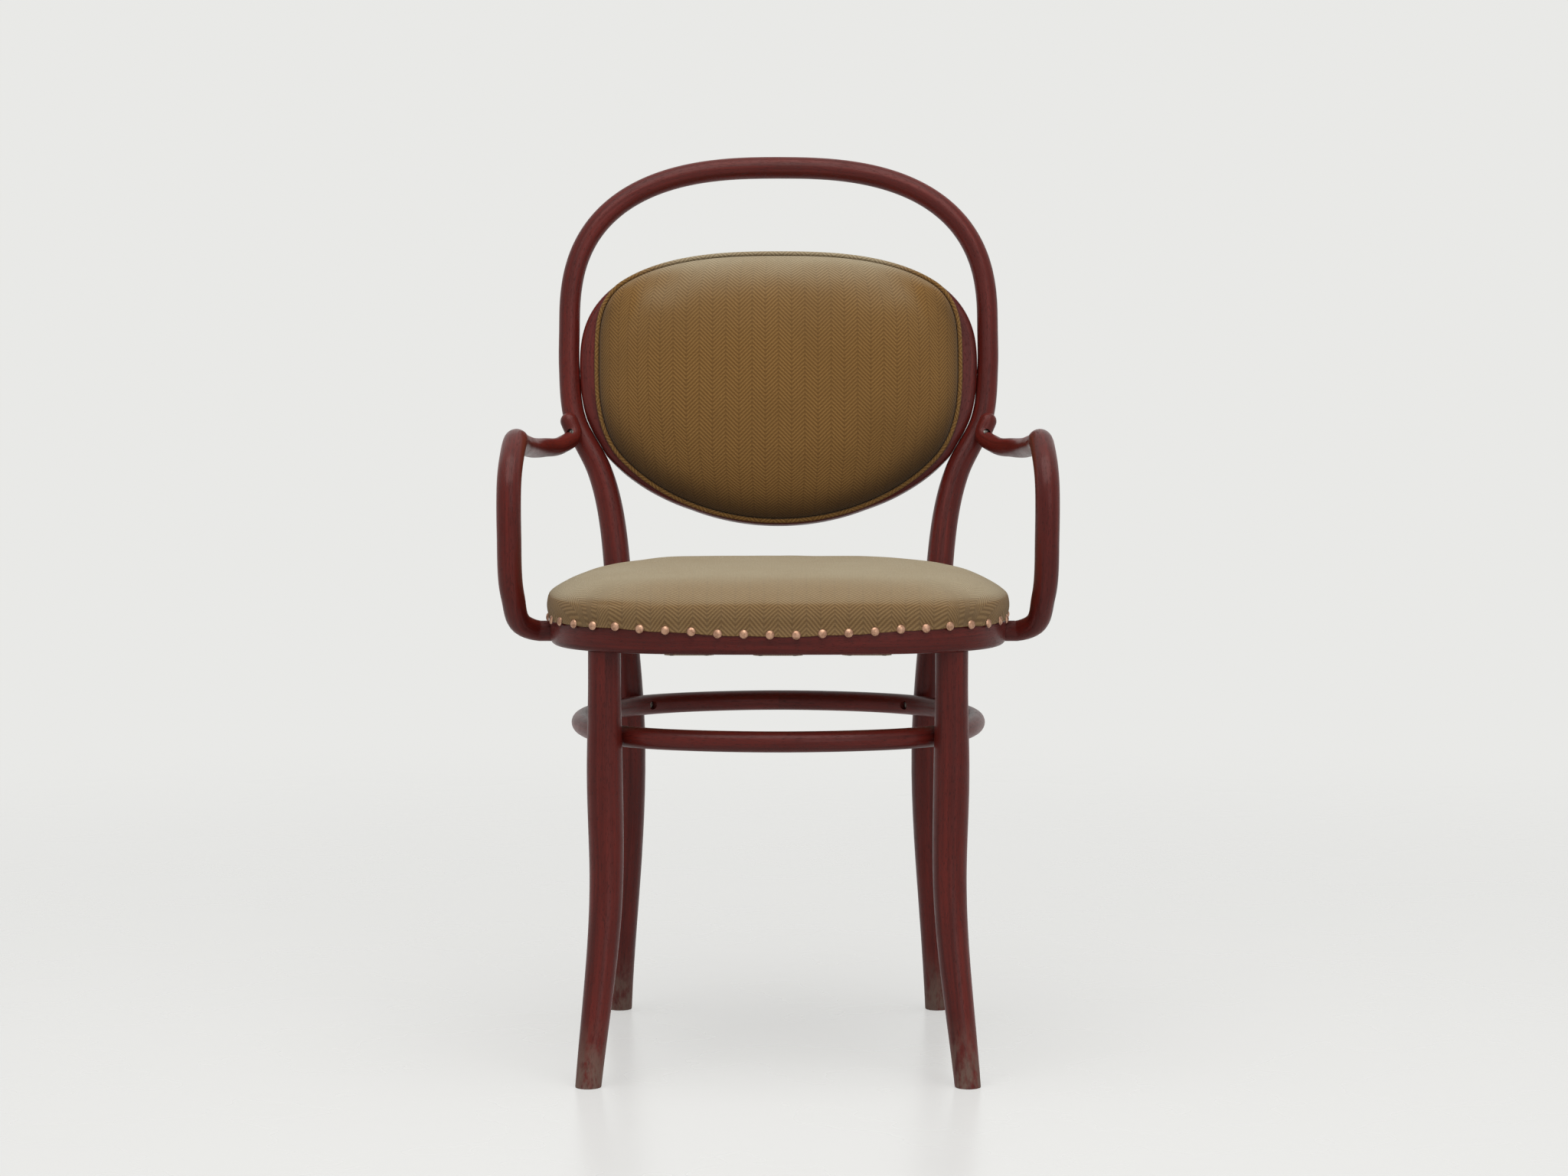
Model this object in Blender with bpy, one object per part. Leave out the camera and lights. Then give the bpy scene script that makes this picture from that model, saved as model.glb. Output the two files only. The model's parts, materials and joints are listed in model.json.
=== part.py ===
"""Bentwood armchair with an upholstered seat and an oval upholstered back, in metres, +Z up.

The chair stands on z = 0 and faces -Y; left and right are the sitter's. Sizes are laid out with y = 0 at the
middle of the seat ring. The empty named chair then carries every piece, so that the footprint is centred on
the origin.
"""

from math import ceil, cos, copysign, pi, radians, sin, tan

import bmesh
import bpy
from mathutils import Vector

# Fits and facets
FIT = 0.0003
ROD_SIDES = 12
TURNED_SIDES = 10
NUT_SIDES = 6
LOOP_POINTS = 52
ARC_STEPS = 2
BEND_STEPS = 14
ARCH_STEPS = 40
LEG_STEPS = 17
BOW_STEP = 0.026
ARM_STEP = 0.0145
FLOOR_CUT = 0.020

# Seat ring: one ash or beech strip bent into a rounded, tapered ring
SEAT_WIDTH = 0.452
SEAT_DEPTH = 0.420
SEAT_SQUARENESS = 3.0
SEAT_TAPER_RATIO = 0.10
SEAT_TOP = 0.457
RING_HEIGHT = 0.028
RING_WALL = 0.042
RING_EDGE = 0.005

# Stuffed seat: a dome over the ring, a skirt tacked round its outside, a plug down inside it
CUSHION_RISE = 0.043
CUSHION_DOME_POWER = 5.5
CUSHION_BULGE = 0.003
COVER = 0.002
SKIRT = 0.005
PLUG_GAP = 0.002

# Jute webbing, interlaced and tacked under the ring
STRAP_WIDTH = 0.050
STRAP_THICKNESS = 0.0015
STRAP_PITCH = 0.088
STRAPS_EACH_WAY = 3

# Front legs, tenoned up into the ring
FRONT_LEG_ANGLE = radians(-48.5)
FRONT_FOOT_SPREAD = 0.015
FRONT_FOOT_KICK = 0.062
FRONT_KNEE = 0.190
FRONT_NECK_RADIUS = 0.0165
FRONT_SWELL_RADIUS = 0.0180
FRONT_FOOT_RADIUS = 0.0130
FRONT_NECK_LENGTH = 0.030
TENON_RADIUS = 0.0110
TENON_COVER = 0.008

# Back bow: both rear legs, both posts and the arch in one bent rod
REAR_POST_ANGLE = radians(46.5)
POST_LET_IN = 0.006
POST_RADIUS = 0.0147
CALF_RADIUS = 0.0160
REAR_FOOT_RADIUS = 0.0130
SHOULDER_RADIUS = 0.0112
ARCH_RADIUS = 0.0117
REAR_FOOT_SPREAD = 0.0045
REAR_CALF_TUCK = 0.008
REAR_FOOT_KICK = 0.066
RECLINE_ANGLE = radians(12.0)
SHOULDER_INSET = 0.0019
SHOULDER_STRAIGHT = 0.046
ARCH_RISE = 0.171
ARCH_SQUARENESS = 2.6

# Inner hoop and the padded panel that it carries
HOOP_GAP = 0.072
HOOP_LOWER_RISE = 0.172
HOOP_UPPER_RISE = 0.124
HOOP_UPPER_SQUARENESS = 2.6
HOOP_WIDTH = 0.028
HOOP_DEPTH = 0.020
HOOP_EDGE = 0.006
REBATE_WIDTH = 0.006
REBATE_DEPTH = 0.008
BOARD_THICKNESS = 0.006
PAD_MARGIN = 0.006
PAD_RISE = 0.036
PAD_DOME_POWER = 2.8
PIPING_RADIUS = 0.0024
REAR_COVER_MARGIN = 0.014
REAR_COVER_RISE = 0.006
REAR_COVER_DOME_POWER = 2.0
LAP_ANGLES = (radians(-17.0), radians(-35.0))
LAP_GAPS = (0.004, 0.009)

# Leg ring: a round rod bent into an oval inside the four legs
LEG_RING_HEIGHT = 0.3405
LEG_RING_RADIUS = 0.0106
LEG_RING_BULGE = 0.029

# Arms
ARM_ANGLE = radians(-11.0)
ARM_RISE = 0.170
ARM_SPREAD = 0.0453
ARM_REACH = 0.046
ARM_DIP = 0.012
ARM_TIP_RISE = 0.001
ARM_TIP_LENGTH = 0.012
ARM_TIP_RADIUS = 0.0092
ARM_RADIUS = 0.0124
ARM_END_RADIUS = 0.0105
ARM_DIP_RADIUS = 0.0100
ARM_CREST_RADIUS = 0.0110
ARM_LAP_ANGLE = radians(-70.0)
ARM_LET_IN = 0.003
ARM_TENON_RADIUS = 0.0070
ARM_TENON_LENGTH = 0.018

# Fasteners
SCREW_RADIUS = 0.0021
SCREW_HEAD_RADIUS = 0.0042
SCREW_HEAD_HEIGHT = 0.0026
SCREW_SINK = 0.0040
SCREW_BITE = 0.013
HOOP_SCREW_PITCH = 0.024
BOLT_RADIUS = 0.0030
BOLT_HEAD_RADIUS = 0.0075
BOLT_HEAD_HEIGHT = 0.0040
BOLT_SEAT = 0.0034
WASHER_RADIUS = 0.0065
WASHER_THICKNESS = 0.0015
NUT_RADIUS = 0.0058
NUT_HEIGHT = 0.0050
NUT_POCKET_DEPTH = 0.0120
NUT_POCKET_RADIUS = 0.0074
BOLT_SPARE = 0.0015

# Colour, roughness and metallic value of each finish
FINISHES = {
    "stained_beech": ((0.105, 0.022, 0.013, 1.0), 0.30, 0.0),
    "wool_twill": ((0.250, 0.165, 0.070, 1.0), 0.90, 0.0),
    "jute": ((0.420, 0.300, 0.150, 1.0), 0.95, 0.0),
    "raw_board": ((0.480, 0.330, 0.190, 1.0), 0.80, 0.0),
    "burnished_steel": ((0.420, 0.400, 0.370, 1.0), 0.40, 1.0),
}

# Heights and points that several pieces share
RING_BOTTOM = SEAT_TOP - RING_HEIGHT
RING_MIDDLE = SEAT_TOP - RING_HEIGHT / 2
ARM_JOINT_HEIGHT = RING_BOTTOM + (RING_HEIGHT - SKIRT) / 2
SHOULDER_HALF_WIDTH = SEAT_WIDTH / 2 - SHOULDER_INSET
HOOP_HALF_WIDTH = SHOULDER_HALF_WIDTH - SHOULDER_RADIUS - FIT
UP_THE_BACK = Vector((0.0, sin(RECLINE_ANGLE), cos(RECLINE_ANGLE)))
SIDES = (("left", 1.0), ("right", -1.0))


def power(value, exponent):
    """A signed power, for the rounded squares of the outlines."""
    return copysign(abs(value) ** exponent, value)


def seat_point(angle):
    """A point on the seat ring's outer outline; angle 0 is the sitter's left and 90 degrees is the back."""
    across = power(cos(angle), 2 / SEAT_SQUARENESS)
    along = power(sin(angle), 2 / SEAT_SQUARENESS)
    narrowing = 1 - SEAT_TAPER_RATIO * along
    return Vector((SEAT_WIDTH / 2 * across * narrowing, SEAT_DEPTH / 2 * along))


def hoop_point(angle):
    """A point on the hoop's outer outline in the plane of the back, from the level of its widest place."""
    if sin(angle) < 0:
        return Vector((HOOP_HALF_WIDTH * cos(angle), HOOP_LOWER_RISE * sin(angle)))
    across = power(cos(angle), 2 / HOOP_UPPER_SQUARENESS)
    up = power(sin(angle), 2 / HOOP_UPPER_SQUARENESS)
    return Vector((HOOP_HALF_WIDTH * across, HOOP_UPPER_RISE * up))


def outward(outline, angle, step=1e-4):
    """The outward normal of an outline function at an angle."""
    along = outline(angle + step) - outline(angle - step)
    return Vector((along.y, -along.x)).normalized()


def even(path, count, loop=False):
    """The path cut again into equal steps; a loop's last point isn't repeated."""
    points = list(path) + ([path[0]] if loop else [])
    reach = [0.0]
    for start, end in zip(points, points[1:]):
        reach.append(reach[-1] + (end.resized(3) - start.resized(3)).length)
    cut = []
    segment = 0
    for index in range(count if loop else count + 1):
        wanted = reach[-1] * index / count
        while segment < len(points) - 2 and reach[segment + 1] < wanted:
            segment += 1
        share = (wanted - reach[segment]) / (reach[segment + 1] - reach[segment])
        cut.append(points[segment].lerp(points[segment + 1], min(share, 1.0)))
    return cut


def outline_loop(outline, count=LOOP_POINTS):
    """An outline function as a loop of evenly spaced points."""
    fine = count * 12
    return even([outline(2 * pi * index / fine) for index in range(fine)], count, loop=True)


def bend(keys, steps=BEND_STEPS):
    """A smooth path through keys of x, y, z and radius, like a rod bent round a former."""
    spans = [(b.resized(3) - a.resized(3)).length for a, b in zip(keys, keys[1:])]
    rates = [(b - a) / span for a, b, span in zip(keys, keys[1:], spans)]
    slopes = [rates[0]]
    for before, after, near, far in zip(rates, rates[1:], spans, spans[1:]):
        slopes.append((before * far + after * near) / (near + far))
    slopes.append(rates[-1])
    path = []
    for index, span in enumerate(spans):
        for step in range(steps):
            t = step / steps
            path.append(
                keys[index] * (2 * t**3 - 3 * t**2 + 1)
                + slopes[index] * span * (t**3 - 2 * t**2 + t)
                + keys[index + 1] * (3 * t**2 - 2 * t**3)
                + slopes[index + 1] * span * (t**3 - t**2)
            )
    return path + [keys[-1]]


def square_ended(path, count):
    """A path in equal steps whose last straight run stays whole, so that its shoulder is square to it."""
    return even(path[:-BEND_STEPS], count) + [path[-1]]


def key(point, radius):
    return Vector((*point, radius))


def at_height(path, height):
    """The point and radius where a path first reaches a height."""
    for start, end in zip(path, path[1:]):
        if min(start.z, end.z) <= height <= max(start.z, end.z) and start.z != end.z:
            return start.lerp(end, (height - start.z) / (end.z - start.z))
    raise ValueError("the path doesn't reach that height")


def mirrored(path, sign):
    return [Vector((point.x * sign, *point[1:])) for point in path]


def grown(path, by):
    """The same path for a thicker rod."""
    return [Vector((*point[:3], point.w + by)) for point in path]


def skin(rings, loop=False):
    """A closed mesh over rings of points; the end rings are capped unless the rings run round in a loop."""
    shape = bmesh.new()
    rows = [[shape.verts.new(point) for point in ring] for ring in rings]
    for row, following in zip(rows, rows[1:] + rows[:1] if loop else rows[1:]):
        for index in range(len(row)):
            after = (index + 1) % len(row)
            shape.faces.new((row[index], row[after], following[after], following[index]))
    if not loop:
        shape.faces.new(rows[0])
        shape.faces.new(rows[-1])
    bmesh.ops.recalc_face_normals(shape, faces=shape.faces)
    return shape


def finish_of(name):
    material = bpy.data.materials.get(name)
    if material is None:
        colour, roughness, metallic = FINISHES[name]
        material = bpy.data.materials.new(name)
        material.use_nodes = True
        surface = material.node_tree.nodes["Principled BSDF"]
        surface.inputs["Base Color"].default_value = colour
        surface.inputs["Roughness"].default_value = roughness
        surface.inputs["Metallic"].default_value = metallic
        material.diffuse_color = colour
    return material


def add_piece(name, shape, finish, parent):
    """A named object from a bmesh, shaded smooth except at its corners."""
    mesh = bpy.data.meshes.new(name)
    shape.to_mesh(mesh)
    shape.free()
    mesh.shade_smooth()
    mesh.set_sharp_from_angle(angle=radians(40))
    mesh.materials.append(finish_of(finish))
    piece = bpy.data.objects.new(name, mesh)
    piece.parent = parent
    bpy.context.scene.collection.objects.link(piece)
    return piece


def add_frame(name, location=(0.0, 0.0, 0.0), rotation=(0.0, 0.0, 0.0), parent=None):
    """An empty that carries pieces."""
    frame = bpy.data.objects.new(name, None)
    frame.location = location
    frame.rotation_euler = rotation
    frame.parent = parent
    bpy.context.scene.collection.objects.link(frame)
    return frame


def cut(piece, cutter):
    """Takes a hidden cutter's shape out of a piece."""
    cutter.hide_render = True
    cutter.display_type = "WIRE"
    modifier = piece.modifiers.new(cutter.name, "BOOLEAN")
    modifier.operation = "DIFFERENCE"
    modifier.solver = "EXACT"
    modifier.object = cutter


def rod_rings(path, sides=ROD_SIDES):
    """Round sections along a path, kept from twisting; one place with two radii makes a square shoulder."""
    places = [point.resized(3) for point in path]
    rings = []
    across = Vector((0.0, 1.0, 0.0))
    for index, place in enumerate(places):
        before = next((p for p in reversed(places[:index]) if (p - place).length > 1e-6), place)
        after = next((p for p in places[index + 1 :] if (p - place).length > 1e-6), place)
        along = (after - before).normalized()
        across = (across - along * across.dot(along)).normalized()
        third = along.cross(across)
        turns = [2 * pi * turn / sides for turn in range(sides)]
        rings.append([place + (across * cos(turn) + third * sin(turn)) * path[index].w for turn in turns])
    return rings


def stand_on_floor(shape):
    """Cuts a leg off level at the floor and closes its foot."""
    geometry = shape.verts[:] + shape.edges[:] + shape.faces[:]
    bmesh.ops.bisect_plane(shape, geom=geometry, plane_co=(0, 0, 0), plane_no=(0, 0, -1), clear_outer=True)
    bmesh.ops.holes_fill(shape, edges=[edge for edge in shape.edges if edge.is_boundary])
    bmesh.ops.recalc_face_normals(shape, faces=shape.faces)
    return shape


def below_floor(foot, above):
    """The foot's axis carried on below the floor, so that the leg can be cut off level."""
    along = (foot - above).resized(3).normalized()
    return key(foot.resized(3) + along * FLOOR_CUT, foot.w)


def profile_rings(loop, profile):
    """Sections of a (outward, upward) profile round a flat loop of points."""
    rings = []
    for index, point in enumerate(loop):
        along = loop[(index + 1) % len(loop)] - loop[index - 1]
        normal = Vector((along.y, -along.x)).normalized()
        rings.append([Vector((*(point + normal * out), up)) for out, up in profile])
    return rings


def offset(loop, distance):
    return [Vector(ring[0][:2]) for ring in profile_rings(loop, [(distance, 0.0)])]


def lifted(loop, height, scale=1.0):
    return [Vector((point.x * scale, point.y * scale, height)) for point in loop]


def arc(centre, radius, start, end, steps=ARC_STEPS):
    """Points of a round corner, as (outward, upward) pairs; the angles are in degrees."""
    turns = [radians(start + (end - start) * step / steps) for step in range(steps + 1)]
    return [(centre[0] + radius * cos(turn), centre[1] + radius * sin(turn)) for turn in turns]


def rounded_side(half, edge):
    """The outer side of a strip's section, from its lower corner round to its upper one."""
    return arc((-edge, edge - half), edge, -90, 0) + arc((-edge, half - edge), edge, 0, 90)


def dome_scales(steps):
    """Shares of an outline from its edge in to a small flat, closer together at the edge."""
    return [cos(pi / 2 * step / steps * 0.94) for step in range(steps + 1)]


def dome_height(share, roundness):
    return max(0.0, 1 - share**roundness) ** (1 / roundness)


def turned(name, finish, parent, start, along, profile, sides=TURNED_SIDES):
    """A turned piece on an axis: the profile is (distance along, radius) pairs from the start point."""
    rings = []
    for distance, radius in profile:
        turns = [2 * pi * turn / sides for turn in range(sides)]
        rings.append([Vector((radius * cos(turn), radius * sin(turn), distance)) for turn in turns])
    piece = add_piece(name, skin(rings), finish, parent)
    piece.location = start
    piece.rotation_mode = "QUATERNION"
    piece.rotation_quaternion = Vector(along).to_track_quat("Z", "Y")
    return piece


def drill(piece, name, parent, start, along, profile, sides=TURNED_SIDES):
    """Bores a stepped hole; each radius of the profile gets the fit added."""
    loose = [(distance, radius + FIT) for distance, radius in profile]
    cut(piece, turned(name, "burnished_steel", parent, start, along, loose, sides))


def screw_profile(length):
    """A round-headed wood screw from its head's top down to a blunt point."""
    return [
        (0.0, SCREW_HEAD_RADIUS * 0.5),
        (SCREW_HEAD_HEIGHT * 0.35, SCREW_HEAD_RADIUS * 0.9),
        (SCREW_HEAD_HEIGHT, SCREW_HEAD_RADIUS),
        (SCREW_HEAD_HEIGHT, SCREW_RADIUS),
        (length - SCREW_RADIUS * 2, SCREW_RADIUS),
        (length, SCREW_RADIUS * 0.3),
    ]


def screw_hole(length, above):
    """The counterbore and pilot hole for a screw; above is how far the counterbore reaches over the head."""
    return [
        (-above, SCREW_HEAD_RADIUS),
        (SCREW_HEAD_HEIGHT + FIT, SCREW_HEAD_RADIUS),
        (SCREW_HEAD_HEIGHT + FIT, SCREW_RADIUS),
        (length + FIT, SCREW_RADIUS),
    ]


def add_screw(name, parent, surface, along, through, pieces):
    """A sunk screw whose axis starts on a surface and runs through one piece into the next."""
    along = Vector(along).normalized()
    start = Vector(surface) + along * SCREW_SINK
    length = through - SCREW_SINK + SCREW_BITE
    turned(name, "burnished_steel", parent, start, along, screw_profile(length))
    for piece in pieces:
        drill(piece, f"{name}_hole_in_{piece.name}", parent, start, along, screw_hole(length, 2 * SCREW_SINK))


def rear_post(sign=1.0):
    """Where a post's axis passes the middle of the seat ring, and the ring's outward direction there."""
    normal = outward(seat_point, REAR_POST_ANGLE)
    place = seat_point(REAR_POST_ANGLE) + normal * (POST_RADIUS - POST_LET_IN)
    return Vector((place.x * sign, place.y, RING_MIDDLE)), Vector((normal.x * sign, normal.y, 0.0))


def hoop_centre():
    """The middle of the hoop's widest level, on the plane of the back that rises from the posts."""
    climb = (SEAT_TOP + HOOP_GAP - RING_MIDDLE) / cos(RECLINE_ANGLE) + HOOP_LOWER_RISE
    post, _ = rear_post()
    return Vector((0.0, post.y, RING_MIDDLE)) + UP_THE_BACK * climb


def on_back(flat):
    """A point of the back's plane, given across and up from the hoop's centre."""
    return hoop_centre() + Vector((flat[0], 0.0, 0.0)) + UP_THE_BACK * flat[1]


def bow_half():
    """The sitter's left half of the back bow, from foot to the top of the arch."""
    post, _ = rear_post()
    foot = key((post.x + REAR_FOOT_SPREAD, post.y + REAR_FOOT_KICK, 0.0), REAR_FOOT_RADIUS)
    calf = key((post.x - REAR_CALF_TUCK, post.y + 0.04 * REAR_FOOT_KICK, LEG_RING_HEIGHT), CALF_RADIUS)
    keys = [foot, calf, key(post, POST_RADIUS)]
    for angle, gap, share in zip(reversed(LAP_ANGLES), reversed(LAP_GAPS), (0.55, 0.15)):
        radius = SHOULDER_RADIUS + (POST_RADIUS - SHOULDER_RADIUS) * share
        flat = hoop_point(angle) + outward(hoop_point, angle) * (radius + gap)
        keys.append(key(on_back(flat), radius))
    keys.append(key(on_back((SHOULDER_HALF_WIDTH, 0.0)), SHOULDER_RADIUS))
    keys.append(key(on_back((SHOULDER_HALF_WIDTH, SHOULDER_STRAIGHT)), SHOULDER_RADIUS))
    path = [below_floor(foot, bend(keys)[1])] + bend(keys)
    for step in range(1, ARCH_STEPS + 1):
        turn = pi / 2 * step / ARCH_STEPS
        across = SHOULDER_HALF_WIDTH * power(cos(turn), 2 / ARCH_SQUARENESS)
        up = SHOULDER_STRAIGHT + ARCH_RISE * power(sin(turn), 2 / ARCH_SQUARENESS)
        radius = SHOULDER_RADIUS + (ARCH_RADIUS - SHOULDER_RADIUS) * step / ARCH_STEPS
        path.append(key(on_back((across if step < ARCH_STEPS else 0.0, up)), radius))
    return path


def front_leg_path():
    """The sitter's left front leg's axis from below the floor up to its shoulder under the ring."""
    flat = seat_point(FRONT_LEG_ANGLE) - outward(seat_point, FRONT_LEG_ANGLE) * RING_WALL / 2
    top = Vector((*flat, RING_BOTTOM - FIT))
    foot = key((top.x + FRONT_FOOT_SPREAD, top.y - FRONT_FOOT_KICK, 0.0), FRONT_FOOT_RADIUS)
    knee_point = (top.x - 0.1 * FRONT_FOOT_SPREAD, top.y - 0.2 * FRONT_FOOT_KICK, FRONT_KNEE)
    knee = key(knee_point, FRONT_FOOT_RADIUS + 0.75 * (FRONT_SWELL_RADIUS - FRONT_FOOT_RADIUS))
    swell = key((top.x, top.y - 0.03 * FRONT_FOOT_KICK, (FRONT_KNEE + top.z) / 2), FRONT_SWELL_RADIUS)
    neck = key((top.x, top.y, top.z - FRONT_NECK_LENGTH), FRONT_NECK_RADIUS)
    path = bend([foot, knee, swell, neck, key(top, FRONT_NECK_RADIUS)])
    return [below_floor(foot, path[1])] + path


def leg_ring_loop(front, rear):
    """The leg ring's axis: it bears on each leg from inside and bows out between them."""
    front = at_height(front, LEG_RING_HEIGHT)
    rear = at_height(rear, LEG_RING_HEIGHT)
    bow_front = Vector((0.0, front.y - LEG_RING_BULGE))
    bow_rear = Vector((0.0, rear.y + LEG_RING_BULGE))
    side_y = (bow_front.y + bow_rear.y) / 2 - 0.5 * LEG_RING_BULGE
    bow_side = Vector((max(front.x, rear.x) + LEG_RING_BULGE, side_y))
    contacts = []
    for leg, first, last in ((front, bow_front, bow_side), (rear, bow_side, bow_rear)):
        along = last - first
        inward = Vector((-along.y, along.x)).normalized()
        contacts.append((leg.resized(2) + inward * (leg.w + LEG_RING_RADIUS + FIT), -inward))
    (front_touch, _), (rear_touch, _) = contacts
    half = [bow_front, front_touch, bow_side, rear_touch, bow_rear]
    around = half + [Vector((-point.x, point.y)) for point in reversed(half[1:-1])]
    wrapped = around[-3:] + around + around[:4]
    keys = [key((*point, LEG_RING_HEIGHT), LEG_RING_RADIUS) for point in wrapped]
    path = bend(keys)[3 * BEND_STEPS : -(3 * BEND_STEPS + 1)]
    return [point.resized(2) for point in even(path, LOOP_POINTS, loop=True)], contacts


def arm_path(bow):
    """The sitter's left arm's axis, from its tip on the bow to its shoulder on the seat ring."""
    crest_height = SEAT_TOP + ARM_RISE
    lap = Vector((cos(ARM_LAP_ANGLE), sin(ARM_LAP_ANGLE), 0.0))
    tips = []
    for height in (crest_height + ARM_TIP_RISE + ARM_TIP_LENGTH, crest_height + ARM_TIP_RISE):
        beside = at_height(bow, height)
        reach = beside.w + ARM_TIP_RADIUS - ARM_LET_IN
        tips.append(key(beside.resized(3) + lap * reach, ARM_TIP_RADIUS))
    joint = Vector((*seat_point(ARM_ANGLE), ARM_JOINT_HEIGHT))
    out = Vector((*outward(seat_point, ARM_ANGLE), 0.0))
    tip = tips[1]
    front = Vector(((joint.x + tip.x) / 2 + ARM_SPREAD, joint.y - ARM_REACH, crest_height))
    spread = front.x - joint.x
    length = tip.y - front.y
    drop = crest_height - joint.z
    across = front.x - tip.x
    wrist = (tip.x + 0.24 * across, front.y + 0.925 * length, crest_height - 0.93 * ARM_DIP)
    dip = (tip.x + 0.56 * across, front.y + 0.83 * length, crest_height - ARM_DIP)
    crest = (tip.x + 0.88 * across, front.y + 0.48 * length, crest_height - 0.30 * ARM_DIP)
    brow = (front.x - 0.06 * spread, front.y + 0.165 * length, crest_height)
    bend_point = (front.x, front.y + 0.016 * length, crest_height - 0.18 * drop)
    shank = (front.x, front.y, crest_height - 0.45 * drop)
    shin = (front.x - 0.07 * spread, joint.y - 0.70 * ARM_REACH, joint.z + 0.20 * drop)
    heel = (joint.x + 0.70 * spread, joint.y - 0.20 * ARM_REACH, joint.z + 0.035 * drop)
    keys = tips + [key(wrist, ARM_TIP_RADIUS), key(dip, ARM_DIP_RADIUS), key(crest, ARM_CREST_RADIUS)]
    keys += [key(place, ARM_RADIUS) for place in (brow, bend_point, shank)]
    keys += [key(shin, ARM_RADIUS * 0.97), key(heel, ARM_RADIUS * 0.9)]
    keys += [key(joint + out * reach, ARM_END_RADIUS) for reach in (0.28 * spread, FIT)]
    return bend(keys), tips[1], -lap, joint, out


def rounded_tip(path):
    """Sections that close a rod's first end with a round nose."""
    first = path[0]
    back = (path[0] - path[1]).resized(3).normalized()
    nose = []
    for turn in (75, 50, 25):
        sink = first.w * sin(radians(turn))
        nose.append(key(first.resized(3) + back * sink, first.w * cos(radians(turn))))
    return nose


def make_seat_ring(chair, bow_cutter):
    half = RING_HEIGHT / 2
    profile = rounded_side(half, RING_EDGE) + [(-RING_WALL, half), (-RING_WALL, -half)]
    shape = skin(profile_rings(outline_loop(seat_point), profile), loop=True)
    ring = add_piece("seat_ring", shape, "stained_beech", chair)
    ring.location.z = RING_MIDDLE
    cut(ring, bow_cutter)
    return ring


def make_back_bow(chair):
    half = bow_half()
    whole = half + list(reversed(mirrored(half, -1.0)[:-1]))
    length = sum((b - a).resized(3).length for a, b in zip(whole, whole[1:]))
    path = even(whole, ceil(length / BOW_STEP))
    bow = add_piece("back_bow", stand_on_floor(skin(rod_rings(path))), "stained_beech", chair)
    cutter = add_piece("bow_clearance", skin(rod_rings(grown(path, FIT))), "stained_beech", chair)
    return bow, cutter, half


def make_front_legs(chair, ring):
    path = front_leg_path()
    top = path[-1].resized(3)
    tenon = RING_HEIGHT - TENON_COVER
    shaft = square_ended(path, LEG_STEPS)
    peg = [key(top, TENON_RADIUS), key(top + Vector((0, 0, tenon)), TENON_RADIUS)]
    legs = []
    for side, sign in SIDES:
        shape = stand_on_floor(skin(rod_rings(mirrored(shaft + peg, sign))))
        legs.append(add_piece(f"front_leg_{side}", shape, "stained_beech", chair))
        start = (top.x * sign, top.y, RING_BOTTOM)
        hole = [(-FIT * 10, TENON_RADIUS), (tenon + FIT, TENON_RADIUS)]
        drill(ring, f"tenon_hole_{side}", chair, start, (0, 0, 1), hole, ROD_SIDES)
    return path, legs


def make_leg_ring(chair, front_path, legs, bow, bow_path):
    loop, contacts = leg_ring_loop(front_path, bow_path)
    profile = arc((0.0, 0.0), LEG_RING_RADIUS, 0, 360, TURNED_SIDES)[:-1]
    ring = add_piece("leg_ring", skin(profile_rings(loop, profile), loop=True), "stained_beech", chair)
    ring.location.z = LEG_RING_HEIGHT
    for (side, sign), leg in zip(SIDES, legs):
        for place, (touch, out), post in zip(("front", "rear"), contacts, (leg, bow)):
            along = Vector((out.x * sign, out.y, 0.0))
            inner = Vector((touch.x * sign, touch.y, LEG_RING_HEIGHT)) - along * LEG_RING_RADIUS
            through = 2 * LEG_RING_RADIUS + FIT
            add_screw(f"leg_ring_screw_{place}_{side}", chair, inner, along, through, (ring, post))


def make_arms(chair, seat_ring, bow, bow_cutter, bow_path):
    path, lap_point, inward, joint, out = arm_path(bow_path)
    length = sum((b - a).resized(3).length for a, b in zip(path, path[1:]))
    shaft = square_ended(path, ceil(length / ARM_STEP))
    end = joint + out * FIT
    peg = [key(end, ARM_TENON_RADIUS), key(end - out * ARM_TENON_LENGTH, ARM_TENON_RADIUS)]
    nose = list(rounded_tip(shaft))
    for side, sign in SIDES:
        flip = Vector((sign, 1.0, 1.0))
        shape = skin(rod_rings(mirrored(nose + shaft + peg, sign)))
        arm = add_piece(f"arm_{side}", shape, "stained_beech", chair)
        cut(arm, bow_cutter)
        hole = [(-FIT * 10, ARM_TENON_RADIUS), (ARM_TENON_LENGTH + FIT, ARM_TENON_RADIUS)]
        drill(seat_ring, f"arm_tenon_hole_{side}", chair, joint * flip, -out * flip, hole, ROD_SIDES)
        along = inward * flip
        outside = lap_point.resized(3) * flip - along * ARM_TIP_RADIUS
        through = 2 * ARM_TIP_RADIUS - ARM_LET_IN
        add_screw(f"arm_screw_{side}", chair, outside, along, through, (arm, bow))


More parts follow.
